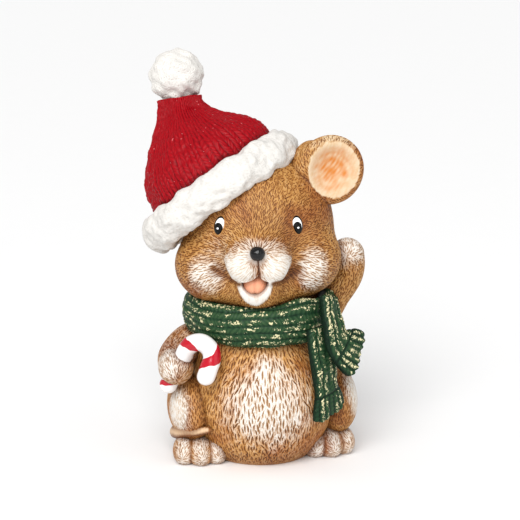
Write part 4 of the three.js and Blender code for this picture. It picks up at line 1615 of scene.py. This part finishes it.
@dataclass
class Ear:
    """The ear that the hat leaves bare: a bowl on a root."""

    paint: bpy.types.Material
    at: Vec = (34.3, -9, 28)
    turn: float = 14.0
    dish: Egg = Egg((0, 0, 0), (16.3, 5.5, 16.5))
    root: Egg = Egg((-8, 5, -2.5), (11, 8, 16))
    bowl: Egg = Egg((0.8, -9.6, 0.4), (14.0, 10.4, 14.8))
    centre: Vec = (0.6, 8.0, -2.0)
    blend: float = 1.1
    streak: Vec = (0.6, 0.0, 0.8)
    strokes: Strokes = Strokes(2.2, 0.5, 71, sway=0.3)
    crest_patch: Spot = Spot((1.0, -4.0, 14.0), (12.0, 9.0, 6.0), 0.8)
    crest_pale: float = 0.5
    bowl_pale: float = 0.95
    ear_pale: float = 0.15
    blush_patch: Spot = Spot((1.0, 0.0, 0.6), (9.6, 30.0, 10.8), 0.8)

    def build(self, head: Casting, hat: Sequence[Body]) -> None:
        """Carves the ear.

        Args:
            head: The head that it stands on.
            hat: The hat's crown and cuff, which it stands beside.
        """
        turned = Matrix.Rotation(math.radians(self.turn), 4, "Z")
        place = Place(HEAD.matrix @ Matrix.Translation(self.at) @ turned)
        form = Form((self.dish, self.root), self.centre, self.blend, (self.bowl,))
        carving = Carving.of(Casting(form, place), ball_blank(7), (0.1, -1, 0), 0.7)
        points = carving.points
        span = lengths((points - np.array(self.bowl.at))[:, (0, 2)] / np.array(self.bowl.radii)[[0, 2]])
        facing = ease(-0.1, -0.5, carving.normals[:, 1])
        bowl = ease(0.96, 0.86, span + 0.012 * lumps(points, 3.0, 72)) * facing
        shown = carving.clear_of([head, *hat], 1.0)
        out = (points - np.array((-8.0, 0.0, -8.0))) * (1.0, 0.4, 1.0)
        streak = unit(np.array(self.streak))
        flow = unit(out) * (1.0 - bowl)[:, None] + streak * bowl[:, None]
        carving.nick([self.strokes], flow, shown * (1.0 - 0.88 * bowl), 1.0 + 0.3 * bowl)
        crest = self.crest_pale * self.crest_patch.cover(points) * facing
        pale = np.maximum(self.bowl_pale * bowl, crest)
        carving.paint(Layer.PALE, np.maximum(pale, self.ear_pale))
        centre = self.blush_patch.cover(points)
        drawn = points - streak * (points @ streak * 0.8)[:, None]
        blots = 0.8 + 0.14 * lumps(drawn, 1.3, 73) + 0.16 * lumps(points, 4.5, 74)
        carving.paint(Layer.MARK, np.clip(bowl * centre * blots, 0.0, 1.0))
        for body in (head, *hat):
            carving.shade_beside(body, 2.5, 0.5)
        carving.maps[Layer.WASH] *= 1.0 - bowl
        carving.raised(carving.fur_height(shown * (0.45 - 0.25 * bowl)))
        carving.seat(head)
        for body in hat:
            carving.seat(body)
        carving.finish("carved_ear", "left_ear", "fur_paint", self.paint)


@dataclass(frozen=True)
class Knit:
    """Knitting: columns of slanted stitches, each leaning against its neighbour."""

    pitch: float
    stitch: float
    slant: float = 0.55
    depth: float = 0.7
    bead: float = 0.46

    def relief(self, column: np.ndarray, along: np.ndarray) -> np.ndarray:
        """Height of the knitting, from 0 between the columns to 1 on a stitch.

        Args:
            column: Which column, with its fraction across.
            along: Way along the column, in mm.

        Returns:
            The relief.
        """
        across = 2.0 * (column - np.floor(column)) - 1.0
        lean = np.where(np.floor(column) % 2 == 0, self.slant, -self.slant)
        wave = 0.5 + 0.5 * np.cos(FULL_TURN * (along / self.stitch + lean * across))
        rib = np.sqrt(np.maximum(1.0 - np.abs(across) ** 2.2, 0.0))
        return rib * (1.0 - self.bead + self.bead * wave)


@dataclass
class Crown:
    """The hat's knitted crown, as a body that others are fitted to and as a piece."""

    half_width: float = 35.6
    half_depth: float = 30.0
    height: float = 48.0
    tip_radius: float = 9.6
    tuck: float = 4.0
    lean_x: float = 9.2
    lean_y: float = 1.7
    bow: float = -0.5
    slope: float = 0.25
    tip_slope: float = 0.25
    shoulder: float = 0.26
    fullness: float = 1.22
    folds: int = 11
    fold_depth: float = 0.8
    low_draw: float = 0.06
    high_draw: float = 0.135

    def fold(self, angle: np.ndarray, share: np.ndarray) -> np.ndarray:
        """Height of the crown's soft folds at an angle round it."""
        many, few = self.folds * angle + 6 * share, (self.folds - 4) * angle - 9 * share + 1
        return self.fold_depth * np.sin(math.pi * share) * (np.sin(many) + np.sin(few)) / 2

    def drawn_in(self, across: np.ndarray, share: np.ndarray) -> np.ndarray:
        """Share of the half width that is left on the low side, where the crown is drawn in."""
        draw = self.low_draw + (self.high_draw - self.low_draw) * ease(0.05, 0.35, share)
        return 1.0 - draw * ease(0.0, -0.9, across) * ease(0.95, 0.5, share)

    def fall_off(self, share: np.ndarray) -> np.ndarray:
        """How steeply the crown's level falls towards the side that it leans from."""
        return self.slope * share**2 + self.tip_slope * share**6

    def section(self, share: np.ndarray) -> tuple[np.ndarray, np.ndarray]:
        """The crown at shares of its height.

        Args:
            share: From 0 at the bottom to 1 at the tip.

        Returns:
            Half width and half depth, and the middle, at each share.
        """
        fall = np.clip((share - self.shoulder) / (1.0 - self.shoulder), 0.0, 1.0) ** self.fullness
        taper = (0.5 + 0.5 * np.cos(math.pi * fall))[:, None]
        halves = self.tip_radius + (np.array((self.half_width, self.half_depth)) - self.tip_radius) * taper
        lean = (np.clip(share, 0.0, 1.0) ** 3)[:, None] * np.array((self.lean_x, self.lean_y))
        lean[:, 0] += self.bow * np.sin(math.pi * np.clip(share, 0.0, 1.0))
        rise = -self.tuck + (self.height + self.tuck) * share
        return halves, np.column_stack([lean, rise])

    def distance(self, points: np.ndarray) -> np.ndarray:
        """Nearly the distance of the figure's points to the crown's skin, negative inside it."""
        local = HAT.into(points)
        level = np.clip((local[:, 2] + self.tuck) / (self.height + self.tuck), 0.0, 1.0)
        drop = self.fall_off(level) * (local[:, 0] - self.section(level)[1][:, 0])
        share = (local[:, 2] + drop + self.tuck) / (self.height + self.tuck)
        halves, middle = self.section(np.clip(share, 0.0, 1.0))
        across = (local[:, :2] - middle[:, :2]) / halves
        across[:, 0] /= self.drawn_in(across[:, 0], share)
        fold = self.fold(np.arctan2(across[:, 1], across[:, 0]), np.clip(share, 0.0, 1.0))
        spread = lengths(across) - fold / halves.min(axis=1)
        side = (spread - 1.0) * halves.min(axis=1)
        ends = np.maximum(-share, share - 1.0) * (self.height + self.tuck)
        return np.maximum(side, ends)

    def tip(self) -> np.ndarray:
        """Middle of the crown's tip."""
        return np.array((self.lean_x, self.lean_y, self.height))

    def tip_heading(self) -> np.ndarray:
        """The way that the crown leans at its tip."""
        return unit(np.array((3 * self.lean_x, 3 * self.lean_y, self.height + self.tuck)))


@dataclass
class Cuff:
    """The hat's plush cuff, a ring with an oval section."""

    half_width: float = 36.6
    half_depth: float = 31.0
    half_thickness: float = 6.5
    half_height: float = 8.5
    lumps: int = 17
    lump_depth: float = 0.9

    def lump(self, around: np.ndarray, section: np.ndarray) -> np.ndarray:
        """Height of the cuff's soft lumps at an angle round it and round its section."""
        many, few = self.lumps * around + 2 * section, (self.lumps - 6) * around - 3 * section + 1
        return self.lump_depth * (np.sin(many) + np.sin(few)) / 2

    def distance(self, points: np.ndarray) -> np.ndarray:
        """Nearly the distance of the figure's points to the cuff's skin, negative inside it."""
        local = HAT.into(points)
        angle, away = round_ring(local, self.half_width, self.half_depth)
        share = np.hypot(away / self.half_thickness, local[:, 2] / self.half_height)
        lump = self.lump(angle, np.arctan2(local[:, 2] / self.half_height, away / self.half_thickness))
        return (share - 1.0) * self.half_thickness - lump


@dataclass
class Hat:
    """The knitted hat: crown, plush cuff and pompom."""

    red_paint: bpy.types.Material
    white_paint: bpy.types.Material
    crown: Crown
    cuff: Cuff
    ribs: int = 80
    points_per_rib: int = 9
    rows: int = 132
    rim: float = 0.06
    knit: Knit = Knit(pitch=3.0, stitch=2.7, depth=0.85)
    pompom_radius: float = 13.0
    pompom_sink: float = 2.0
    pompom_nap: float = 0.5
    plush_depth: float = 0.75
    specks: int = 240
    knit_seed: int = 81
    speck_seed: int = 84
    cuff_seed: int = 91
    pompom_seed: int = 101
    wear: float = 0.38

    def build(self, head: Casting) -> None:
        """Makes the hat's pieces, seated on the head."""
        self._crown(head)
        self._cuff(head)
        self._pompom()

    def _crown(self, head: Casting) -> None:
        """Knits the crown: ribs that run together towards the tip."""
        carving = Carving(sleeve_blank(self.points_per_rib * self.ribs, self.rows), HAT)
        polar, angle = carving.globe()
        share, reach = capped(polar, self.rim, 1.0 - self.rim)
        halves, middle = self.crown.section(share)
        halves = halves + self.crown.fold(angle, share)[:, None]
        round_xy = np.column_stack([np.cos(angle), np.sin(angle)]) * halves * reach[:, None]
        round_xy[:, 0] *= self.crown.drawn_in(np.cos(angle), share)
        carving.move(middle + np.column_stack([round_xy, -self.crown.fall_off(share) * round_xy[:, 0]]))
        along = share * (self.crown.height + self.crown.tuck) * 1.12
        wander = 0.25 * np.sin(along / 7.0 + 3.0 * np.sin(2.0 * angle))
        wander = wander + 0.15 * lumps(carving.points, 9.0, self.knit_seed + 4)
        column = angle / FULL_TURN * self.ribs + wander * ease(0.0, 0.4, share)
        relief = self.knit.relief(column, along + 1.1 * lumps(carving.points, 6.0, self.knit_seed))
        worn = self.wear * ease(0.2, 0.6, share)
        worn = worn * (0.7 + 0.3 * lumps(carving.points, 12.0, self.knit_seed + 5))
        relief = relief + (0.7 + 0.2 * lumps(carving.points, 2.2, self.knit_seed + 1) - relief) * worn
        outer = ease(0.55, 1.0, reach)
        carving.paint(Layer.RELIEF, relief * outer)
        sag = 0.25 * lumps(carving.points, 6.0, self.knit_seed + 2)
        carving.raised((self.knit.depth * (relief - 0.5) + sag) * outer)
        self._speckle(carving, outer)
        carving.shade_beside(self.cuff, 2.5, 0.55)
        carving.seat(head)
        carving.finish("knitted_crown", "hat_crown", "red_paint", self.red_paint)

    def _speckle(self, carving: Carving, where: np.ndarray) -> None:
        """Strews small bright specks over the knitting."""
        rng = np.random.default_rng(self.speck_seed)
        choices = np.flatnonzero(where > 0.9)
        cover = np.zeros(len(where))
        for index in rng.choice(choices, self.specks):
            away = lengths(carving.points - carving.points[index])
            cover = np.maximum(cover, ease(0.42, 0.15, away) * rng.uniform(0.4, 1.0))
        carving.paint(Layer.FLECK, cover)

    def _plush(self, carving: Carving, seed: int, where: np.ndarray) -> None:
        """Raises short curls that lie every way, on soft lumps."""
        flow = np.column_stack([lumps(carving.points, 6.0, seed + i) for i in range(3)])
        carving.curl(Strokes(2.6, 1.1, seed + 4, room=0.7, run=0.9, sway=0.7), flow, where)
        fine = 0.3 * lumps(carving.points, 4.5, seed + 5)
        carving.raised((self.plush_depth * (carving.layer(Layer.RELIEF) - 0.75) + fine) * where)

    def _cuff(self, head: Casting) -> None:
        """Makes the cuff."""
        carving = Carving(ring_blank(440, 104), HAT)
        around, section = carving.torus()
        lump = self.cuff.lump(around, section)
        thick = (self.cuff.half_thickness + lump) * np.cos(section)
        rise = (self.cuff.half_height + lump) * np.sin(section)
        carving.move(ring_skin(around, (self.cuff.half_width, self.cuff.half_depth), thick, rise))
        shown = carving.clear_of([head, self.crown], 1.5)
        self._plush(carving, self.cuff_seed, shown)
        carving.seat(head)
        carving.seat(self.crown, 0.8)
        carving.finish("plush_cuff", "hat_cuff", "white_paint", self.white_paint)

    def _pompom(self) -> None:
        """Makes the pompom on the crown's tip."""
        centre = self.crown.tip() + self.crown.tip_heading() * (self.pompom_radius - self.pompom_sink)
        carving = Carving(ball_blank(7), HAT)
        carving.move(centre + unit(carving.points) * (self.pompom_radius - self.pompom_nap))
        carving.raised(self.pompom_nap * lumps(carving.points, 8.5, self.pompom_seed + 3))
        self._plush(carving, self.pompom_seed, np.ones(len(carving.points)))
        carving.seat(self.crown, 0.8)
        carving.finish("plush_pompom", "hat_pompom", "white_paint", self.white_paint)


@dataclass
class ScarfLoop:
    """The scarf's loop round the neck, a ring with an oval section."""

    half_width: float = 32.0
    half_depth: float = 30.0
    half_height: float = 9.6
    half_thickness: float = 5.5
    droop: float = 1.9
    middle_x: float = 0.3
    lift: float = 2.6
    lift_at: float = -0.98
    lift_half: float = 0.5

    def distance(self, points: np.ndarray) -> np.ndarray:
        """Nearly the distance of the figure's points to the loop's skin, negative inside it."""
        local = NECK.into(points) - np.array((self.middle_x, 0.0, 0.0))
        angle, away = round_ring(local, self.half_width, self.half_depth)
        height = local[:, 2] - self.droop * np.sin(angle)
        return (np.hypot(away / self.half_thickness, height / self.half_height) - 1.0) * self.half_thickness


@dataclass(frozen=True)
class ScarfEnd:
    """A hanging end of the scarf: its middle line from the loop's front corner, width and fringe."""

    points: tuple[Vec, ...]
    width: float
    flare: float
    fringe_share: float
    ridges: int
    strands: int
    flecks: int
    seed: int


@dataclass
class Scarf:
    """The knitted scarf: loop and two fringed ends, dry-brushed with pale gold."""

    paint: bpy.types.Material
    loop: ScarfLoop
    knit: Knit = Knit(pitch=3.4, stitch=2.3, depth=0.9)
    thickness: float = 5.0
    loop_flecks: int = 560
    loop_seed: int = 111
    fringe_depth: float = 1.0
    twist_pitch: float = 2.4
    end_rims: tuple[float, float] = (0.03, 0.95)
    long_end: ScarfEnd = ScarfEnd(
        ((-5, 1, -2), (-3.6, 0, -13.5), (-2, 1, -25), (-0.6, 2.4, -35), (0.4, 4.4, -45.4)),
        width=15,
        flare=23,
        fringe_share=0.35,
        ridges=4,
        strands=6,
        flecks=210,
        seed=121,
    )
    short_end: ScarfEnd = ScarfEnd(
        ((-0.3, 8, 10), (1.7, 2.5, 1), (3.7, 0.5, -7.5), (7.4, 2, -12), (13.8, 7, -17)),
        width=14.5,
        flare=23.5,
        fringe_share=0.6,
        ridges=4,
        strands=7,
        flecks=210,
        seed=131,
    )

    def build(self, torso: Casting, head: Casting, raised_arm: Body) -> None:
        """Makes the scarf's pieces.

        Args:
            torso: The torso under it.
            head: The head over it.
            raised_arm: The arm that comes out under it.
        """
        self._loop(torso, head, raised_arm)
        self._end("long", self.long_end, torso, head)
        self._end("short", self.short_end, torso, head)

    def _gild(self, carving: Carving, count: int, heading: np.ndarray, where: np.ndarray, seed: int) -> None:
        """Brushes short dashes of pale gold along the ridges.

        Args:
            carving: The piece.
            count: Number of dashes.
            heading: The way that the ridges run at each point.
            where: Chance of a dash at each point.
            seed: Seed of their places.
        """
        rng = np.random.default_rng(seed)
        chance = where * np.maximum(carving.layer(Layer.RELIEF) - 0.5, 0.0)
        cover = np.zeros(len(where))
        tree = carving.tree()
        for index in rng.choice(len(where), count, p=chance / chance.sum()):
            near = np.array([hit[1] for hit in tree.find_range(Vector(carving.points[index]), 2.6)])
            offset = carving.points[near] - carving.points[index]
            ahead = offset @ heading[index]
            beside = lengths(offset - heading[index] * ahead[:, None])
            share = np.hypot(ahead / rng.uniform(0.6, 2.4), beside / rng.uniform(0.4, 0.8))
            cover[near] = np.maximum(cover[near], ease(1.4, 0.3, share) * rng.uniform(0.35, 0.8))
        carving.paint(Layer.FLECK, cover * ease(0.3, 0.6, carving.layer(Layer.RELIEF)))

    def _loop(self, torso: Casting, head: Casting, raised_arm: Body) -> None:
        """Knits the loop."""
        loop = self.loop
        carving = Carving(ring_blank(460, 120), NECK)
        around, section = carving.torus()
        thick = loop.half_thickness * np.cos(section)
        rise = loop.half_height * np.sin(section)
        lifted = ease(loop.lift_half, 0.0, np.abs(around - loop.lift_at)) * ease(0.0, 0.9, np.sin(section))
        level = loop.droop * np.sin(around) + rise + loop.lift * lifted
        ring = ring_skin(around, (loop.half_width, loop.half_depth), thick, level)
        carving.move(ring + np.array((loop.middle_x, 0.0, 0.0)))
        along = around * (loop.half_width + loop.half_thickness)
        wander = 0.9 * np.sin(2.0 * around + 0.7) + 0.5 * np.sin(5.0 * around)
        column = (rise + wander + 40.0) / self.knit.pitch
        relief = self.knit.relief(column, along + 0.6 * lumps(carving.points, 8.0, self.loop_seed))
        outer = ease(-0.25, 0.15, np.cos(section))
        carving.paint(Layer.RELIEF, relief * outer)
        heading = np.column_stack([-np.sin(around), np.cos(around), np.zeros(len(around))])
        shown = carving.clear_of([torso, head], 1.0) * outer
        gilded = shown * (0.25 + ease(0.3, -0.5, np.sin(around)))
        self._gild(carving, self.loop_flecks, heading, gilded, self.loop_seed + 1)
        sag = 0.35 * lumps(carving.points, 15.0, self.loop_seed + 2)
        carving.raised((self.knit.depth * (relief - 0.5) + sag) * outer)
        carving.join((torso, head), 2.2, 0.6)
        carving.seat(raised_arm)
        carving.finish("knitted_scarf_loop", "scarf_loop", "green_paint", self.paint)

    def _end(self, label: str, end: ScarfEnd, torso: Casting, head: Casting) -> None:
        """Knits a hanging end, which flares into a fringe of strands.

        Args:
            label: Which end.
            end: Its sizes.
            torso: The torso behind it.
            head: The head above it.
        """
        corner = np.array((self.loop.middle_x + self.loop.half_width, -self.loop.half_depth, 0.0))
        path = Path([tuple(np.array(point) + corner) for point in end.points])
        carving = Carving(sleeve_blank(150, 190), NECK)
        polar, angle = carving.globe()
        share, reach = capped(polar, *self.end_rims)
        across = np.sign(np.cos(angle)) * np.abs(np.cos(angle)) ** 0.55 * reach
        front = np.sign(np.sin(angle)) * np.abs(np.sin(angle)) ** 0.45 * reach
        middle, along = path.at(share), path.heading(share)
        outward = unit(middle * (1.0, 1.0, 0.0))
        side = unit(np.cross(outward, along))
        face = unit(np.cross(along, side))
        fringe = ease(1.0 - end.fringe_share, 1.0, share)
        half = 0.5 * (end.width + (end.flare - end.width) * fringe)
        strand = across * end.strands / 2.0
        scallop = np.abs(np.cos(math.pi * strand)) * ease(0.86, 1.0, share)
        flat = 1.0 - 0.28 * across**4
        points = (
            middle
            + side * (across * half)[:, None]
            + face * (front * flat * self.thickness / 2)[:, None]
            + along * ((scallop - 0.8) * 0.7 - 1.6 * across**4)[:, None] * ease(0.7, 1.0, share)[:, None]
        )
        carving.move(points)
        way = share * path.length
        start = 1.0 - 0.5 * end.fringe_share if end.fringe_share > 0.5 else 1.0 - 0.75 * end.fringe_share
        hanging = ease(start - 0.015, start + 0.015, share)
        column = across * end.ridges / 2.0 + 20.0 + 0.12 * np.sin(way / 4.0)
        knitted = self.knit.relief(column, way + 0.6 * lumps(points, 7.0, end.seed))
        twist = np.cos(FULL_TURN * (way / self.twist_pitch + strand))
        rope = np.abs(np.cos(math.pi * strand)) ** 0.6 * (0.8 + 0.2 * twist)
        relief = knitted * (1.0 - hanging) + rope * hanging
        binding = ease(0.028, 0.0, np.abs(share - start))
        relief = relief * (1.0 - 0.8 * binding)
        edge = ease(-0.15, 0.2, front) * (1.0 - 0.7 * np.abs(across) ** 6)
        carving.paint(Layer.RELIEF, relief * edge)
        self._gild(carving, end.flecks, along, ease(0.3, 0.9, front), end.seed + 1)
        depth = self.knit.depth * (1.0 - hanging) + self.fringe_depth * hanging
        carving.raised((depth * (relief - 0.5) + 0.25 * lumps(points, 10.0, end.seed + 2)) * edge)
        carving.join((torso, head), 1.8, 0.5)
        carving.finish(f"knitted_scarf_{label}_end", f"scarf_{label}_end", "green_paint", self.paint)


@dataclass
class Arms:
    """The right arm, whose paw holds the cane, and the raised left arm."""

    paint: bpy.types.Material
    right: Limb = Limb(
        ((-24, 2, -14), (-34, -1, -16.5), (-40, -9, -21), (-40.2, -19, -23), (-38.7, -31.4, -22.4)),
        (9, 9, 8.6, 8.2, 8.4),
        NECK,
    )
    left: Limb = Limb(
        ((23, 4, -16), (28, 7, -6.5), (34.2, 9, 4.5), (41.6, 8, 16.5), (42, 1, 33.4)),
        (10, 9.8, 9.2, 8.6, 7.5),
        NECK,
    )
    stroke: tuple[float, float] = (2.5, 0.5)
    stroke_depth: float = 0.45
    right_seed: int = 141
    left_seed: int = 142
    fist_patch: Spot = Spot((-43, -27, -20), (9, 13, 9), 0.8)
    fist_pale: float = 0.65
    right_pale: float = 0.26
    paw_pale: float = 0.64
    left_pale: float = 0.06
    thumb: tuple[Vec, ...] = ((41.2, -7.6, 18), (38.8, -7.4, 23), (38.4, -6.8, 28), (40.0, -5.5, 34))
    thumb_width: float = 1.8

    def build(self, torso: Casting, head: Casting, scarf: Body, cane: Body) -> None:
        """Carves both arms.

        Args:
            torso: The torso that they grow from.
            head: The head beside the raised arm.
            scarf: The scarf over the shoulders.
            cane: The cane in the right paw.
        """
        right, share = self._carve(self.right, [torso, scarf, cane], self.right_seed)
        knuckles = self.fist_pale * self.fist_patch.cover(right.points) * ease(0.4, 0.8, share)
        right.paint(Layer.PALE, np.maximum(knuckles, self.right_pale))
        right.shade_beside(cane, 2.5, 0.7)
        self._end(right, "right", [torso, scarf], cane)
        left, share = self._carve(self.left, [torso, head, scarf], self.left_seed)
        thumb = left.groove(self.thumb, self.thumb_width)
        left.paint(Layer.PALE, np.maximum(self.paw_pale * ease(0.72, 0.95, share), self.left_pale))
        left.paint(Layer.WASH, 0.8 * thumb)
        left.raised(-0.8 * thumb)
        left.shade_beside(head, 5.0, 0.7)
        self._end(left, "left", [torso, head], scarf)

    def _carve(self, limb: Limb, neighbours: Sequence[Body], seed: int) -> tuple[Carving, np.ndarray]:
        """Carves an arm's fur, which lies towards the paw.

        Args:
            limb: The arm.
            neighbours: What covers parts of it.
            seed: Seed of the strokes.

        Returns:
            The carving, and the share of the arm's length at each point.
        """
        carving = Carving(sleeve_blank(150, 230), limb.place)
        points, share = limb.skin(*carving.globe())
        carving.move(points)
        shown = carving.clear_of(neighbours, 1.0)
        flow = limb.path().heading(share) + DOWN * (0.9 * ease(0.6, 0.95, share))[:, None]
        carving.nick([Strokes(*self.stroke, seed)], flow, shown)
        carving.raised(carving.fur_height(self.stroke_depth * shown))
        return carving, share

    def _end(self, carving: Carving, label: str, hosts: Sequence[Body], beside: Body) -> None:
        """Paints shade into the seams of an arm and seats it."""
        carving.join(hosts, 3.0, 0.6)
        carving.shade_beside(beside, 2.0, 0.5)
        carving.finish(f"carved_{label}_arm", f"{label}_arm", "fur_paint", self.paint)


@dataclass
class Cane:
    """The candy cane: white enamel with slanting red stripes."""

    enamel: bpy.types.Material
    limb: Limb = Limb(
        (
            (-45.2, -20.3, -35.9), (-40, -22.6, -24.3), (-36, -25.2, -16.6), (-33.2, -28.2, -11.4),
            (-30, -30.2, -9), (-26.6, -31.3, -9.1), (-23.6, -32.2, -11.6), (-22.4, -33.2, -15.6),
            (-23.8, -34.6, -20.4), (-26.8, -36, -28),
        ),
        (4.2, 4.2),
        NECK,
    )
    stripe_pitch: float = 13.8
    stripe_edge: float = 0.25
    stripes: tuple[tuple[float, float], ...] = ((7.2, 3.0), (32.0, 3.4), (46.6, 5.2))

    def build(self) -> None:
        """Makes the cane and paints its stripes, placed from the front."""
        carving = Carving(sleeve_blank(120, 300), NECK)
        points, share = self.limb.skin(*carving.globe())
        carving.move(points)
        path = self.limb.path()
        along, out = path.heading(share), points - path.at(share)
        front = unit(np.array((0.0, -1.0, 0.0)) + along * along[:, 1:2])
        beside = np.einsum("ij,ij->i", out, np.cross(along, front))
        angle = np.arctan2(beside, np.einsum("ij,ij->i", out, front))
        wound = share * path.length - self.stripe_pitch * angle / FULL_TURN + 0.15 * lumps(points, 3.0, 151)
        bands = [
            ease(width / 2 + self.stripe_edge, width / 2 - self.stripe_edge, np.abs(wound - at))
            for at, width in self.stripes
        ]
        stripe = np.max(bands, axis=0)
        carving.paint(Layer.MARK, stripe)
        carving.raised(0.12 * stripe + 0.1 * lumps(points, 7.0, 152))
        carving.finish("enamel_cane", "candy_cane", "candy_enamel", self.enamel)


@dataclass
class Studio:
    """The pale floor, the soft lights and the camera at the photograph's angle."""

    elevation: float = 12.0
    distance: float = 0.8
    lens: float = 115.0
    target: Vec = (0.0, 0.0, 0.096)
    floor_half: float = 8.0
    sun_strength: float = 2.5
    sun_angle: float = 40.0
    sun_heading: Vec = (0.15, 0.95, -0.8)
    softboxes: tuple[tuple[str, Vec, float, float], ...] = (
        ("key_light", (-0.5, -0.8, 0.75), 0.5, 1.6),
        ("fill_light", (0.8, -0.6, 0.4), 0.6, 0.8),
        ("low_light", (-0.1, -1.0, 0.1), 0.5, 0.6),
    )
    surround: float = 0.52

    def build(self) -> None:
        """Sets the stage."""
        self._floor()
        self._camera()
        self._world()
        self._daylight()
        for softbox in self.softboxes:
            self._softbox(*softbox)
        view = bpy.context.scene.view_settings
        view.view_transform = "Standard"
        view.look = "None"

    def _floor(self) -> None:
        """A wide pale floor."""
        blank = bmesh.new()
        bmesh.ops.create_grid(blank, x_segments=1, y_segments=1, size=self.floor_half)
        mesh = bpy.data.meshes.new("floor")
        blank.to_mesh(mesh)
        blank.free()
        board = Board("floor_paper")
        grain = board.noise(30.0, 2.0)
        tone = board.mix(grain * 0.2, colour(250, 250, 250), colour(244, 244, 243))
        mesh.materials.append(board.coat(base_color=tone, roughness=0.9))
        floor = bpy.data.objects.new("floor", mesh)
        bpy.context.scene.collection.objects.link(floor)
        floor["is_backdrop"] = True

    def _camera(self) -> None:
        """The camera, aimed at the figure's middle."""
        lens = bpy.data.cameras.new("camera")
        lens.lens = self.lens
        lens.sensor_width = 36.0
        camera = bpy.data.objects.new("camera", lens)
        tilt = math.radians(self.elevation)
        offset = Vector((0.0, -self.distance * math.cos(tilt), self.distance * math.sin(tilt)))
        camera.location = Vector(self.target) + offset
        camera.rotation_euler = (-offset).to_track_quat("-Z", "Y").to_euler()
        bpy.context.scene.collection.objects.link(camera)
        bpy.context.scene.camera = camera

    def _world(self) -> None:
        """An even white surround."""
        world = bpy.data.worlds.new("surround")
        world.use_nodes = True
        background = world.node_tree.nodes["Background"]
        background.inputs["Color"].default_value = (1.0, 1.0, 1.0, 1.0)
        background.inputs["Strength"].default_value = self.surround
        bpy.context.scene.world = world

    def _daylight(self) -> None:
        """Broad even light from above and before the figure."""
        light = bpy.data.lights.new("daylight", "SUN")
        light.energy = self.sun_strength
        light.angle = math.radians(self.sun_angle)
        lamp = bpy.data.objects.new("daylight", light)
        lamp.rotation_euler = Vector(self.sun_heading).to_track_quat("-Z", "Y").to_euler()
        bpy.context.scene.collection.objects.link(lamp)

    def _softbox(self, name: str, at: Vec, size: float, power: float) -> None:
        """A square softbox that faces the figure.

        Args:
            name: Name of the light.
            at: Its place, in metres.
            size: Its side, in metres.
            power: Its power, in watts.
        """
        light = bpy.data.lights.new(name, "AREA")
        light.size = size
        light.energy = power
        lamp = bpy.data.objects.new(name, light)
        lamp.location = at
        lamp.rotation_euler = (Vector(self.target) - Vector(at)).to_track_quat("-Z", "Y").to_euler()
        bpy.context.scene.collection.objects.link(lamp)


def write_sizes(cad_box: tuple[Vector, Vector]) -> None:
    """Works out the castings' box and the dressed figure's box, in metres, as plain lists."""
    boxes = {"cad": cad_box, "visual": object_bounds()}
    plain = {name: [list(map(float, corner)) for corner in box] for name, box in boxes.items()}


def main() -> None:
    """Builds the figurine's pieces in order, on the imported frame."""
    logging.basicConfig(level=logging.INFO, format="%(message)s")
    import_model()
    cad_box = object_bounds()
    Studio().build()
    fur = FurPaint().material("fur_paint")
    pale_fur = FurPaint(coat=colour(172, 119, 64)).material("pale_fur_paint")
    # A lighter copy of the fur paint for the torso: painted light, making up for the light that its front and
    # underside lack.
    lit_torso = FurPaint(shadow=colour(138, 86, 36), coat=colour(184, 129, 66), tip=colour(204, 154, 90))
    ear_fur = FurPaint(
        pale_shadow=colour(196, 160, 112),
        pale=colour(210, 188, 150),
        pale_tip=colour(220, 206, 178),
        blush=colour(200, 122, 50),
    )
    # On the tail, the light tone is painted light and the dark tone is painted shade.
    skin = SkinPaint(colour(150, 98, 52), colour(212, 180, 144), colour(120, 72, 36)).material("skin_paint")
    tongue = SkinPaint(colour(238, 166, 130), colour(246, 190, 158), colour(196, 112, 80), 0.32)
    red = KnitPaint(
        colour(66, 0, 6), colour(136, 1, 14), colour(164, 6, 20), colour(222, 128, 130), fleck_edge=0.5
    )
    green = KnitPaint(
        colour(11, 29, 18), colour(29, 58, 36), colour(55, 82, 51), colour(222, 212, 168), fleck_edge=2.0
    )
    white = PlushPaint().material("white_paint")
    eyes = Enamel(colour(248, 248, 246), colour(12, 11, 11), gloss=0.2).material("eye_enamel")
    black = Enamel(colour(14, 13, 14), colour(14, 13, 14), gloss=0.35).material("nose_enamel")
    candy = Enamel(colour(236, 234, 233), colour(182, 10, 34), roughness=0.16).material("candy_enamel")

    torso, head = Torso(lit_torso.material("lit_torso_fur_paint")), Head(fur)
    legs, tail, arms = Legs(fur, pale_fur), Tail(skin), Arms(fur)
    crown, cuff, loop, cane = Crown(), Cuff(), ScarfLoop(), Cane(candy)
    torso_body, head_body = torso.casting(), head.casting()
    limbs = [legs.haunch(side) for side in Side] + [legs.foot(side) for side in Side]
    torso.build(head_body, [*limbs, loop, arms.right, arms.left])
    BasePad(Felt().material("felt")).build()
    legs.build(torso_body, tail.limb)
    tail.build(torso_body, [legs.haunch(Side.RIGHT), legs.foot(Side.RIGHT)])
    face = Face(eyes, black, tongue.material("tongue_paint"))
    head.build([crown, cuff], loop, [face.eye(head_body, side) for side in Side])
    face.build(head_body)
    Ear(ear_fur.material("ear_fur_paint")).build(head_body, [crown, cuff])
    Hat(red.material("red_paint"), white, crown, cuff).build(head_body)
    Scarf(green.material("green_paint"), loop).build(torso_body, head_body, arms.left)
    arms.build(torso_body, head_body, loop, cane.limb)
    cane.build()
    write_sizes(cad_box)


if __name__ == "__main__":
    main()
